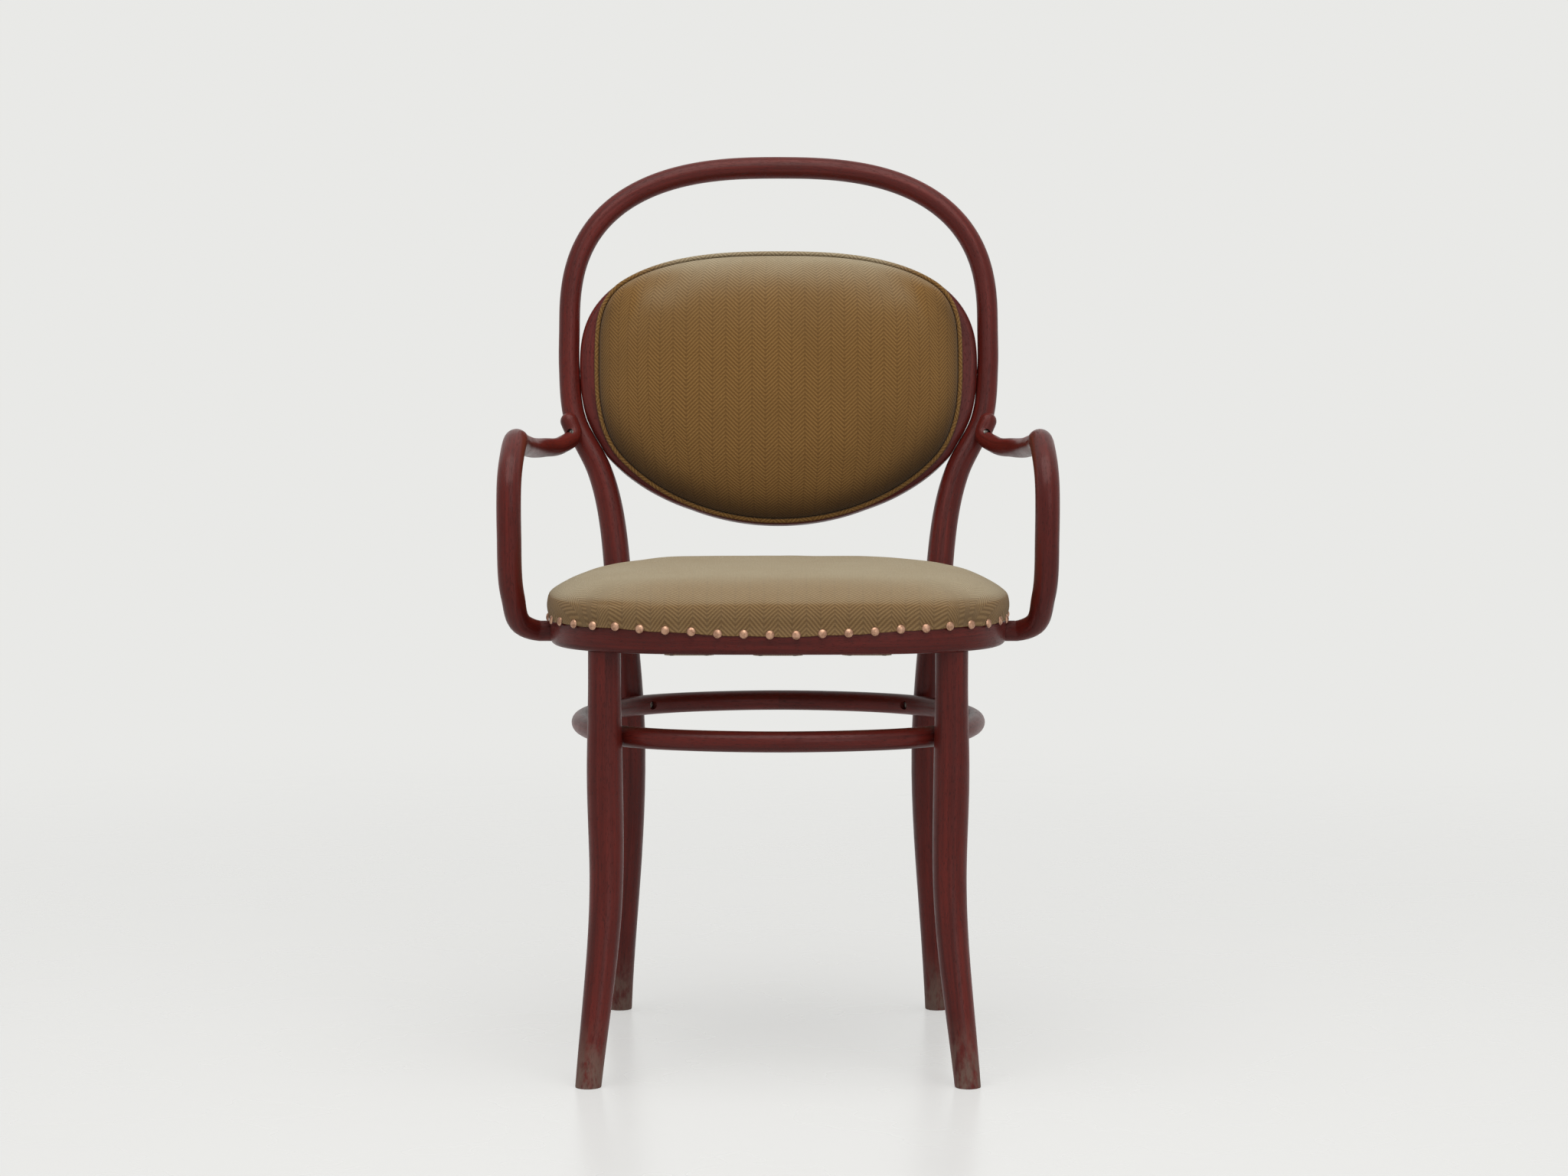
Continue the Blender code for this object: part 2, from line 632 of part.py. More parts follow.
def make_rear_bolts(chair, ring, bow):
    """A bolt through each post and the ring, with its washer and nut sunk in a pocket inside the ring."""
    for side, sign in SIDES:
        post, normal = rear_post(sign)
        along = -normal
        head = post + normal * (POST_RADIUS - BOLT_SEAT)
        inner_face = 2 * POST_RADIUS - BOLT_SEAT - POST_LET_IN + RING_WALL
        floor = inner_face - NUT_POCKET_DEPTH
        washer_at = floor + FIT
        nut_at = washer_at + WASHER_THICKNESS + FIT
        end = nut_at + NUT_HEIGHT + BOLT_SPARE
        shank = [(FIT, BOLT_HEAD_RADIUS), (FIT, BOLT_RADIUS), (end, BOLT_RADIUS)]
        dome = [(-BOLT_HEAD_HEIGHT, BOLT_HEAD_RADIUS * 0.4)]
        dome.append((-BOLT_HEAD_HEIGHT * 0.6, BOLT_HEAD_RADIUS * 0.85))
        turned(f"rear_bolt_{side}", "burnished_steel", chair, head - along * FIT * 2, along, dome + shank)
        for name, at, radius, height, sides in (
            ("washer", washer_at, WASHER_RADIUS, WASHER_THICKNESS, ROD_SIDES),
            ("nut", nut_at, NUT_RADIUS, NUT_HEIGHT, NUT_SIDES),
        ):
            start = head + along * at
            disc = [(0.0, radius), (height, radius)]
            piece = turned(f"rear_{name}_{side}", "burnished_steel", chair, start, along, disc, sides)
            bore = [(-height, BOLT_RADIUS), (2 * height, BOLT_RADIUS)]
            drill(piece, f"rear_{name}_bore_{side}", chair, start, along, bore)
        spot = [(-2 * BOLT_SEAT, BOLT_HEAD_RADIUS), (0.0, BOLT_HEAD_RADIUS), (0.0, BOLT_RADIUS)]
        drill(bow, f"rear_bolt_hole_{side}", chair, head, along, spot + [(3 * POST_RADIUS, BOLT_RADIUS)])
        pocket = [(0.0, BOLT_RADIUS), (floor, BOLT_RADIUS), (floor, NUT_POCKET_RADIUS)]
        pocket.append((inner_face + NUT_POCKET_DEPTH, NUT_POCKET_RADIUS))
        drill(ring, f"nut_pocket_{side}", chair, head, along, pocket, ROD_SIDES)


def make_hoop(back, bow, chair):
    half = HOOP_DEPTH / 2
    step = REBATE_WIDTH - HOOP_WIDTH
    shelf = half - REBATE_DEPTH
    rebate = [(step, half), (step, shelf), (-HOOP_WIDTH, shelf), (-HOOP_WIDTH, -half)]
    profile = rounded_side(half, HOOP_EDGE) + rebate
    shape = skin(profile_rings(outline_loop(hoop_point), profile), loop=True)
    hoop = add_piece("inner_hoop", shape, "stained_beech", back)
    for side, sign in SIDES:
        for place, up in (("upper", HOOP_SCREW_PITCH / 2), ("lower", -HOOP_SCREW_PITCH / 2)):
            flat = Vector((HOOP_HALF_WIDTH - HOOP_WIDTH, up))
            inner = on_back((flat.x * sign, flat.y)) + back_normal() * (-REBATE_DEPTH / 2)
            through = HOOP_WIDTH + FIT
            add_screw(f"hoop_screw_{place}_{side}", chair, inner, (sign, 0, 0), through, (hoop, bow))
    return hoop


def back_normal():
    """The direction that the padded face looks."""
    return Vector((0.0, -cos(RECLINE_ANGLE), sin(RECLINE_ANGLE)))


def make_back_upholstery(back):
    """The board in the hoop's rebate, the pad and its piping in front, the cover behind."""
    outline = outline_loop(hoop_point, LOOP_POINTS - 8)
    front = HOOP_DEPTH / 2
    board_back = front - REBATE_DEPTH + FIT
    board_edge = offset(outline, REBATE_WIDTH - HOOP_WIDTH - 3 * FIT)
    board = [lifted(board_edge, board_back), lifted(board_edge, board_back + BOARD_THICKNESS)]
    add_piece("back_board", skin(board), "raw_board", back)

    pad_edge = offset(outline, -PAD_MARGIN)
    base = front + FIT
    pad = [lifted(pad_edge, base)]
    for share in dome_scales(8):
        rise = PAD_RISE * dome_height(share, PAD_DOME_POWER)
        pad.append(lifted(pad_edge, base + PIPING_RADIUS + rise, share))
    add_piece("back_pad", skin(pad), "wool_twill", back)

    piping_line = offset(outline, PIPING_RADIUS + FIT - PAD_MARGIN)
    cord = arc((0.0, base + PIPING_RADIUS), PIPING_RADIUS, 0, 360, 6)[:-1]
    add_piece("back_piping", skin(profile_rings(piping_line, cord), loop=True), "wool_twill", back)

    cover_edge = offset(outline, -REAR_COVER_MARGIN)
    behind = -front - FIT
    cover = [lifted(cover_edge, behind)]
    for share in dome_scales(4):
        rise = REAR_COVER_RISE * dome_height(share, REAR_COVER_DOME_POWER)
        cover.append(lifted(cover_edge, behind - COVER - rise, share))
    add_piece("back_rear_cover", skin(cover), "wool_twill", back)


def make_cushion(chair, bow_cutter):
    """The stuffed seat, notched round the posts as the cover is cut round them."""
    outline = outline_loop(seat_point)
    plug = offset(outline, -RING_WALL - PLUG_GAP)
    inside = offset(outline, FIT)
    outside = offset(outline, FIT + COVER)
    widest = offset(outline, FIT + COVER + CUSHION_BULGE)
    rings = [lifted(plug, RING_BOTTOM), lifted(plug, SEAT_TOP + FIT), lifted(inside, SEAT_TOP + FIT)]
    rings += [lifted(inside, SEAT_TOP - SKIRT), lifted(outside, SEAT_TOP - SKIRT), lifted(outside, SEAT_TOP)]
    base = SEAT_TOP + 0.25 * CUSHION_RISE
    rise = 0.75 * CUSHION_RISE
    for share in dome_scales(9):
        rings.append(lifted(widest, base + rise * dome_height(share, CUSHION_DOME_POWER), share))
    cushion = add_piece("seat_cushion", skin(rings), "wool_twill", chair)
    cut(cushion, bow_cutter)


def ring_reach(fixed, axis):
    """Where the ring's outline crosses a line x = fixed (axis 1) or y = fixed (axis 0), low and high."""
    loop = outline_loop(seat_point, LOOP_POINTS * 4)
    crossings = []
    for start, end in zip(loop, loop[1:] + loop[:1]):
        a, b = start[1 - axis] - fixed, end[1 - axis] - fixed
        if a * b <= 0 and a != b:
            crossings.append(start[axis] + (end[axis] - start[axis]) * a / (a - b))
    return min(crossings), max(crossings)


def strap_levels(low, high, crossings, first_over):
    """Places and drops along a strap: flat under the ring, then over and under the straps that cross it."""
    drop = STRAP_THICKNESS + FIT
    flat = STRAP_WIDTH / 2 + 4 * STRAP_THICKNESS
    levels = [(low, 0.0), (low + RING_WALL / 2, 0.0)]
    for index, crossing in enumerate(crossings):
        level = 0.0 if (index % 2 == 0) == first_over else -drop
        levels += [(crossing - flat, level), (crossing + flat, level)]
    return levels + [(high - RING_WALL / 2, 0.0), (high, 0.0)]


def make_webbing(chair):
    """Straps each way, over and under one another, their ends on the underside of the ring."""
    places = [(index - (STRAPS_EACH_WAY - 1) / 2) * STRAP_PITCH for index in range(STRAPS_EACH_WAY)]
    top = RING_BOTTOM - FIT
    for axis, name in ((1, "webbing_lengthways"), (0, "webbing_crossways")):
        for index, place in enumerate(places):
            low, high = ring_reach(place, axis)
            low, high = low + RING_WALL * 0.35, high - RING_WALL * 0.35
            over = (index % 2 == 0) == (axis == 1)
            rings = []
            for along, level in strap_levels(low, high, places, over):
                ring = []
                for across, down in ((-0.5, 0.0), (0.5, 0.0), (0.5, 1.0), (-0.5, 1.0)):
                    side = place + across * STRAP_WIDTH
                    flat = (side, along) if axis == 1 else (along, side)
                    ring.append(Vector((*flat, top + level - down * STRAP_THICKNESS)))
                rings.append(ring)
            add_piece(f"{name}_{index + 1}", skin(rings), "jute", chair)


def footprint_middle(front_path, bow_path):
    """Half way between the front of the front feet and the back of the arch or of the rear feet."""
    front = at_height(front_path, 0.0)
    rear = at_height(bow_path, 0.0)
    behind = max(bow_path[-1].y + bow_path[-1].w, rear.y + rear.w)
    return (front.y - front.w + behind) / 2


def main():
    for thing in list(bpy.data.objects):
        bpy.data.objects.remove(thing)
    middle = footprint_middle(front_leg_path(), bow_half())
    chair = add_frame("chair", location=(0.0, -middle, 0.0))
    back = add_frame("back", hoop_centre(), (pi / 2 - RECLINE_ANGLE, 0.0, 0.0), chair)
    bow, bow_cutter, bow_path = make_back_bow(chair)
    seat_ring = make_seat_ring(chair, bow_cutter)
    front_path, legs = make_front_legs(chair, seat_ring)
    make_leg_ring(chair, front_path, legs, bow, bow_path)
    make_arms(chair, seat_ring, bow, bow_cutter, bow_path)
    make_rear_bolts(chair, seat_ring, bow)
    make_hoop(back, bow, chair)
    make_back_upholstery(back)
    make_cushion(chair, bow_cutter)
    make_webbing(chair)


main()
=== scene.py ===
"""Looks of the bentwood armchair: bent and lacquered rods, a stuffed seat and a stuffed oval back.

Everything is in metres, +Z up, and the chair faces -Y.
The rods follow the same rules and sizes as the solids.
"""

import json
from itertools import accumulate
from math import atan2, copysign, cos, degrees, pi, radians, sin, tau

import bmesh
import bpy
from mathutils import Matrix, Vector, noise

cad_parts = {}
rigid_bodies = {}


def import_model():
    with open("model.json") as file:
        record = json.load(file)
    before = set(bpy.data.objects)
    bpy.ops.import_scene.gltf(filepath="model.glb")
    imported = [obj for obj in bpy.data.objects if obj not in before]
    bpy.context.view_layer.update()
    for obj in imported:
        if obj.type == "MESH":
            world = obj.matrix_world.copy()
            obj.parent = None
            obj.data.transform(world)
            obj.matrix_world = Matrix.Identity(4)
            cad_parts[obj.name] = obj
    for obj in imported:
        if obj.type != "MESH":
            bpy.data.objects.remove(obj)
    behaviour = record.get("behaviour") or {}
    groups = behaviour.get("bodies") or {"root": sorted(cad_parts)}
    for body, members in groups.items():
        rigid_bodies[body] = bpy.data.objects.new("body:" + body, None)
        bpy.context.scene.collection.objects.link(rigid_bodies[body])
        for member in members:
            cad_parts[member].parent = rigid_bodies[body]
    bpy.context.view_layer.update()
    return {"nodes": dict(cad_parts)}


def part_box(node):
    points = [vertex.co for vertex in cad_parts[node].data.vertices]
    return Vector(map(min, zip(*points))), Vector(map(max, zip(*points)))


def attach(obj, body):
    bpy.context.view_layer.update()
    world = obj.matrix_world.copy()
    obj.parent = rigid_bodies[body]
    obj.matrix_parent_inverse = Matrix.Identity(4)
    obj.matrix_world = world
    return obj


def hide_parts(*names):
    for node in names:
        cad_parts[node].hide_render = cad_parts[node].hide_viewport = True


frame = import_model()

# Clearance between pieces
FIT = 0.0003

# Seat ring
SEAT_WIDTH = 0.452
SEAT_DEPTH = 0.420
SEAT_SQUARENESS = 3.0
SEAT_TAPER_RATIO = 0.10
SEAT_TOP = 0.457
RING_HEIGHT = 0.028
RING_WALL = 0.042
RING_EDGE = 0.005
RING_INNER_EDGE = 0.0015
RING_BOTTOM = SEAT_TOP - RING_HEIGHT
RING_MIDDLE = SEAT_TOP - RING_HEIGHT / 2
SKIRT = 0.005

# Front legs
FRONT_LEG_ANGLE = radians(-48.5)
FRONT_FOOT_SPREAD = 0.015
FRONT_FOOT_KICK = 0.062
FRONT_KNEE = 0.190
FRONT_NECK_RADIUS = 0.0165
FRONT_SWELL_RADIUS = 0.0180
FRONT_FOOT_RADIUS = 0.0130
FRONT_NECK_LENGTH = 0.030

# Back bow
REAR_POST_ANGLE = radians(46.5)
POST_LET_IN = 0.006
POST_RADIUS = 0.0147
CALF_RADIUS = 0.0160
REAR_FOOT_RADIUS = 0.0130
SHOULDER_RADIUS = 0.0112
ARCH_RADIUS = 0.0117
REAR_FOOT_SPREAD = 0.0045
REAR_CALF_TUCK = 0.008
REAR_FOOT_KICK = 0.066
RECLINE_ANGLE = radians(12.0)
SHOULDER_INSET = 0.0019
SHOULDER_HALF_WIDTH = SEAT_WIDTH / 2 - SHOULDER_INSET
SHOULDER_STRAIGHT = 0.046
ARCH_RISE = 0.171
ARCH_SQUARENESS = 2.6
ARCH_STEPS = 40

# All rods: how they are cut and finished by hand
FLOOR_CUT = 0.020
FOOT_RIM = 0.0012
UNEVENNESS = 0.012
UNEVENNESS_SCALE = 9.0
ARM_LAP_REACH = 0.06
NOTCH_REACH = RING_HEIGHT / 2 + 0.03

# How finely rods and loops are drawn
BEND_STEPS = 14
ROD_STEP = 0.0045
ROUND_SIDES = 28
CORD_SIDES = 14
HOOP_POINTS = 260
LEG_RING_POINTS = 280
SEAT_RING_POINTS = 300
STRAP_RING_POINTS = 208

# Inner hoop and its panel
HOOP_GAP = 0.072
HOOP_LOWER_RISE = 0.172
HOOP_UPPER_RISE = 0.124
HOOP_UPPER_SQUARENESS = 2.6
HOOP_LOWER_SQUARENESS = 2.0
HOOP_WIDTH = 0.028
HOOP_DEPTH = 0.020
HOOP_EDGE = 0.006
REBATE_WIDTH = 0.006
REBATE_DEPTH = 0.008
PAD_MARGIN = 0.006
PAD_SIDE_MARGIN = 0.015
PAD_SIDE_SHARE = 0.80
PIPING_RADIUS = 0.0024
REAR_COVER_MARGIN = 0.014
REAR_COVER_RISE = 0.006
HOOP_HALF_WIDTH = SHOULDER_HALF_WIDTH - SHOULDER_RADIUS - FIT

# Where the bow passes the hoop: angle, gap, and the share of the post's extra thickness that it has left
LAPS = ((radians(-35.0), 0.009, 0.55), (radians(-17.0), 0.004, 0.15))

# How much fuller the hoop's outer edge is to lie along the bow, by the degrees below its widest place
HOOP_FILLS = (
    (4, 0.0),
    (12, 0.0019),
    (18, 0.0038),
    (24, 0.0042),
    (28, 0.0043),
    (33, 0.0060),
    (41, 0.0048),
    (64, 0.0),
)
HOOP_FILL_REACH = 0.018

# Leg ring
LEG_RING_HEIGHT = 0.3405
LEG_RING_RADIUS = 0.0106
LEG_RING_BULGE = 0.029

# Arms
ARM_ANGLE = radians(-11.0)
ARM_RISE = 0.170
ARM_SPREAD = 0.0453
ARM_REACH = 0.046
ARM_DIP = 0.012
ARM_TIP_RISE = 0.001
ARM_TIP_LENGTH = 0.012
ARM_TIP_RADIUS = 0.0092
ARM_RADIUS = 0.0124
ARM_END_RADIUS = 0.0105
ARM_DIP_RADIUS = 0.0100
ARM_CREST_RADIUS = 0.0110
ARM_LAP_ANGLE = radians(-70.0)
ARM_LET_IN = 0.003
ARM_ROOT = 0.0045
ARM_JOINT_HEIGHT = RING_BOTTOM + (RING_HEIGHT - SKIRT) / 2

# Straps under the seat
STRAP_WIDTH = 0.050
STRAP_THICKNESS = 0.0015
STRAP_PITCH = 0.088
STRAPS_EACH_WAY = 3
STRAP_END_SHARE = 0.35
STRAP_STEP = 0.004
STRAP_CELLS = 12
SACKING_THICKNESS = 0.0008

# Weave of the wool: herringbone columns, twill ribs and single yarns
COLUMN = 0.0140
TWILL_PITCH = 0.0046
YARN = 0.0016

# Paler and darker cloth: how much fading and a painted highlight of the overhead light pale it, and how much
# painted shade darkens it along the back's edge and lower down
BACK_EDGE_SHADE = 0.60
BACK_FADE_AND_LIGHT = 0.84
PIPING_TOP_LIGHT = 0.85
UPPER_BACK_LIGHT = 0.08
LOWER_BACK_SHADE = 0.12
SEAT_FRONT_PALE_CUT = 0.50
SEAT_SIDE_FADE_AND_LIGHT = 0.20

# Weave of the straps and the sacking
STRAP_WARP = 0.0012
STRAP_WEFT = 0.0016
STRIPE_FROM = 0.0150
STRIPE_TO = 0.0190
STRIPE_BLUR = 0.0006
SACKING_YARN = 0.0011

# Screws and bolts
SCREW_HEAD_RADIUS = 0.0042
SCREW_SINK = 0.0040
SCREW_HEAD_ROOM = 0.0029
HOOP_SCREW_PITCH = 0.024
BOLT_HEAD_RADIUS = 0.0075
BOLT_HEAD_HEIGHT = 0.0040
BOLT_SEAT = 0.0034
NUT_POCKET_RADIUS = 0.0077
NUT_POCKET_DEPTH = 0.012

# Width and depth of the slots
SCREW_SLOT = (0.0011, 0.0009)
BOLT_SLOT = (0.0016, 0.0014)

# Turned heads from below to the top: heights, and radii as shares of the rim's where a rim is named
NAIL_DOME = ((0.0, 0.93), (0.0004, 1.0), (0.0012, 0.90), (0.0021, 0.62), (0.0026, 0.30), (0.0027, 0.0))
TACK_HEAD = ((0.0, 0.0026), (0.0003, 0.0029), (0.0007, 0.0022), (0.0009, 0.0))
SCREW_HEAD = ((-0.0026, 0.50), (-0.0026, 0.98), (-0.0010, 1.0), (-0.0004, 0.85), (0.0, 0.45), (0.0, 0.0))
BOLT_SHANK = ((-0.0500, 0.0), (-0.0500, 0.0024), (-0.0490, 0.0030), (0.0, 0.0030))
BOLT_DOME = ((0.0, 0.97), (0.125, 1.0), (0.45, 0.93), (0.75, 0.74), (0.93, 0.45), (1.0, 0.0))
TACK_PITCH = 0.020
TACK_INSET = 0.0055
TACK_LEVEL = 0.0042

# Tacks at each end of a strap: how far aside and how far from the end
STRAP_TACKS = ((-0.017, 0.006), (0.0, 0.010), (0.017, 0.006))

# Directions and sides
UP_THE_BACK = Vector((0.0, sin(RECLINE_ANGLE), cos(RECLINE_ANGLE)))
BACK_NORMAL = Vector((0.0, -cos(RECLINE_ANGLE), sin(RECLINE_ANGLE)))
SIDES = (("left", 1.0), ("right", -1.0))
SHARP_ANGLE = radians(38)

ring_low, ring_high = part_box("seat_ring")
SHIFT = Vector((0.0, (ring_low.y + ring_high.y) / 2, 0.0))


def power(value, exponent):
    """A signed power, for the rounded squares of the outlines."""
    return copysign(abs(value) ** exponent, value)


def smooth(value):
    """A soft step from 0 to 1."""
    value = min(1.0, max(0.0, value))
    return value * value * (3 - 2 * value)


def rounded(angle, squareness):
    """A point of a rounded square 2 across; a squareness of 2 makes it a circle."""
    return power(cos(angle), 2 / squareness), power(sin(angle), 2 / squareness)


def seat_point(angle):
    """A point on the seat ring's outer outline; angle 0 is the sitter's left and 90 degrees is the back."""
    across, along = rounded(angle, SEAT_SQUARENESS)
    return Vector((SEAT_WIDTH / 2 * across * (1 - SEAT_TAPER_RATIO * along), SEAT_DEPTH / 2 * along))


def hoop_half(upper):
    """The rise and the squareness of the hoop's upper or lower half."""
    if upper:
        return HOOP_UPPER_RISE, HOOP_UPPER_SQUARENESS
    return HOOP_LOWER_RISE, HOOP_LOWER_SQUARENESS


def hoop_point(angle):
    """A point on the hoop's outer outline in the plane of the back, from the level of its widest place."""
    rise, squareness = hoop_half(sin(angle) >= 0)
    across, up = rounded(angle, squareness)
    return Vector((HOOP_HALF_WIDTH * across, rise * up))


def outward(outline, angle, step=1e-4):
    """The outward normal of an outline function at an angle."""
    along = outline(angle + step) - outline(angle - step)
    return Vector((along.y, -along.x)).normalized()


def reaches(path):
    """How far along a path each of its points lies."""
    steps = ((end - start).resized(3).length for start, end in zip(path, path[1:]))
    return list(accumulate(steps, initial=0.0))


def even(path, count, loop=False):
    """The path cut again into equal steps; a loop's last point isn't repeated."""
    points = list(path) + ([path[0]] if loop else [])
    reach = reaches(points)
    steps = []
    segment = 0
    for index in range(count if loop else count + 1):
        wanted = reach[-1] * index / count
        while segment < len(points) - 2 and reach[segment + 1] < wanted:
            segment += 1
        share = (wanted - reach[segment]) / (reach[segment + 1] - reach[segment])
        steps.append(points[segment].lerp(points[segment + 1], min(share, 1.0)))
    return steps


def outline_loop(outline, count, start=0.0):
    """An outline function as a loop of evenly spaced points from a start angle."""
    fine = count * 12
    return even([outline(start + tau * index / fine) for index in range(fine)], count, loop=True)


def offset(loop, distance):
    """A flat loop moved outwards."""
    moved = []
    for index, point in enumerate(loop):
        along = loop[(index + 1) % len(loop)] - loop[index - 1]
        moved.append(point + Vector((along.y, -along.x)).normalized() * distance)
    return moved


def bend(keys):
    """A smooth path through keys of x, y, z and radius, like a rod bent round a former."""
    spans = [(b.resized(3) - a.resized(3)).length for a, b in zip(keys, keys[1:])]
    rates = [(b - a) / span for a, b, span in zip(keys, keys[1:], spans)]
    slopes = [rates[0]]
    for before, after, near, far in zip(rates, rates[1:], spans, spans[1:]):
        slopes.append((before * far + after * near) / (near + far))
    slopes.append(rates[-1])
    path = []
    for index, span in enumerate(spans):
        for step in range(BEND_STEPS):
            t = step / BEND_STEPS
            path.append(
                keys[index] * (2 * t**3 - 3 * t**2 + 1)
                + slopes[index] * span * (t**3 - 2 * t**2 + t)
                + keys[index + 1] * (3 * t**2 - 2 * t**3)
                + slopes[index + 1] * span * (t**3 - t**2)
            )
    return path + [keys[-1]]


def key(point, radius):
    return Vector((*point, radius))


def at_height(path, height):
    """The point and radius where a path first reaches a height."""
    for start, end in zip(path, path[1:]):
        if min(start.z, end.z) <= height <= max(start.z, end.z) and start.z != end.z:
            return start.lerp(end, (height - start.z) / (end.z - start.z))
    raise ValueError("the path doesn't reach that height")


def mirrored(path, sign):
    return [Vector((point.x * sign, *point[1:])) for point in path]


def in_place(path):
    """A path moved from the seat's middle to the chair's own frame."""
    return [point + key(SHIFT, 0.0) for point in path]


def below_floor(foot, above):
    """The foot's axis carried on below the floor, so that the leg can be cut off level."""
    along = (foot - above).resized(3).normalized()
    return key(foot.resized(3) + along * FLOOR_CUT, foot.w)


def rear_post(sign=1.0):
    """Where a post's axis passes the middle of the seat ring, and the ring's outward direction there."""
    normal = outward(seat_point, REAR_POST_ANGLE)
    place = seat_point(REAR_POST_ANGLE) + normal * (POST_RADIUS - POST_LET_IN)
    return Vector((place.x * sign, place.y, RING_MIDDLE)), Vector((normal.x * sign, normal.y, 0.0))


def hoop_centre():
    """The middle of the hoop's widest level, on the plane of the back that rises from the posts."""
    climb = (SEAT_TOP + HOOP_GAP - RING_MIDDLE) / cos(RECLINE_ANGLE) + HOOP_LOWER_RISE
    post, _ = rear_post()
    return Vector((0.0, post.y, RING_MIDDLE)) + UP_THE_BACK * climb


def on_back(flat, forward=0.0):
    """A point given across, up and forward from the hoop's centre, in the plane of the back."""
    return hoop_centre() + Vector((flat[0], 0.0, 0.0)) + UP_THE_BACK * flat[1] + BACK_NORMAL * forward


def bow_half():
    """The sitter's left half of the back bow, from foot to the top of the arch."""
    post, _ = rear_post()
    foot = key((post.x + REAR_FOOT_SPREAD, post.y + REAR_FOOT_KICK, 0.0), REAR_FOOT_RADIUS)
    calf = key((post.x - REAR_CALF_TUCK, post.y + 0.04 * REAR_FOOT_KICK, LEG_RING_HEIGHT), CALF_RADIUS)
    keys = [foot, calf, key(post, POST_RADIUS)]
    for angle, gap, share in LAPS:
        radius = SHOULDER_RADIUS + (POST_RADIUS - SHOULDER_RADIUS) * share
        flat = hoop_point(angle) + outward(hoop_point, angle) * (radius + gap)
        keys.append(key(on_back(flat), radius))
    keys.append(key(on_back((SHOULDER_HALF_WIDTH, 0.0)), SHOULDER_RADIUS))
    keys.append(key(on_back((SHOULDER_HALF_WIDTH, SHOULDER_STRAIGHT)), SHOULDER_RADIUS))
    path = [below_floor(foot, bend(keys)[1])] + bend(keys)
    for step in range(1, ARCH_STEPS + 1):
        turn = pi / 2 * step / ARCH_STEPS
        across, up = rounded(turn, ARCH_SQUARENESS)
        across = SHOULDER_HALF_WIDTH * across if step < ARCH_STEPS else 0.0
        radius = SHOULDER_RADIUS + (ARCH_RADIUS - SHOULDER_RADIUS) * step / ARCH_STEPS
        path.append(key(on_back((across, SHOULDER_STRAIGHT + ARCH_RISE * up)), radius))
    return path


def front_leg_path():
    """The sitter's left front leg's axis from below the floor up to its shoulder under the ring."""
    flat = seat_point(FRONT_LEG_ANGLE) - outward(seat_point, FRONT_LEG_ANGLE) * RING_WALL / 2
    top = Vector((*flat, RING_BOTTOM - FIT))
    foot = key((top.x + FRONT_FOOT_SPREAD, top.y - FRONT_FOOT_KICK, 0.0), FRONT_FOOT_RADIUS)
    knee_point = (top.x - 0.1 * FRONT_FOOT_SPREAD, top.y - 0.2 * FRONT_FOOT_KICK, FRONT_KNEE)
    knee = key(knee_point, FRONT_FOOT_RADIUS + 0.75 * (FRONT_SWELL_RADIUS - FRONT_FOOT_RADIUS))
    swell = key((top.x, top.y - 0.03 * FRONT_FOOT_KICK, (FRONT_KNEE + top.z) / 2), FRONT_SWELL_RADIUS)
    neck = key((top.x, top.y, top.z - FRONT_NECK_LENGTH), FRONT_NECK_RADIUS)
    path = bend([foot, knee, swell, neck, key(top, FRONT_NECK_RADIUS)])
    return [below_floor(foot, path[1])] + path


def leg_ring_path(front, rear):
    """The leg ring's axis, which bears on each leg from inside, and its four places of contact."""
    front = at_height(front, LEG_RING_HEIGHT)
    rear = at_height(rear, LEG_RING_HEIGHT)
    bow_front = Vector((0.0, front.y - LEG_RING_BULGE))
    bow_rear = Vector((0.0, rear.y + LEG_RING_BULGE))
    side_y = (bow_front.y + bow_rear.y) / 2 - 0.5 * LEG_RING_BULGE
    bow_side = Vector((max(front.x, rear.x) + LEG_RING_BULGE, side_y))
    contacts = []
    for leg, first, last in ((front, bow_front, bow_side), (rear, bow_side, bow_rear)):
        along = last - first
        inward = Vector((-along.y, along.x)).normalized()
        contacts.append((leg.resized(2) + inward * (leg.w + LEG_RING_RADIUS + FIT), -inward))
    (front_touch, _), (rear_touch, _) = contacts
    half = [bow_front, front_touch, bow_side, rear_touch, bow_rear]
    around = half + [Vector((-point.x, point.y)) for point in reversed(half[1:-1])]
    around = around[4:] + around[:4]
    wrapped = around[-3:] + around + around[:4]
    keys = [key((*point, LEG_RING_HEIGHT), LEG_RING_RADIUS) for point in wrapped]
    path = bend(keys)[3 * BEND_STEPS : -(3 * BEND_STEPS + 1)]
    return even(path, LEG_RING_POINTS, loop=True), contacts


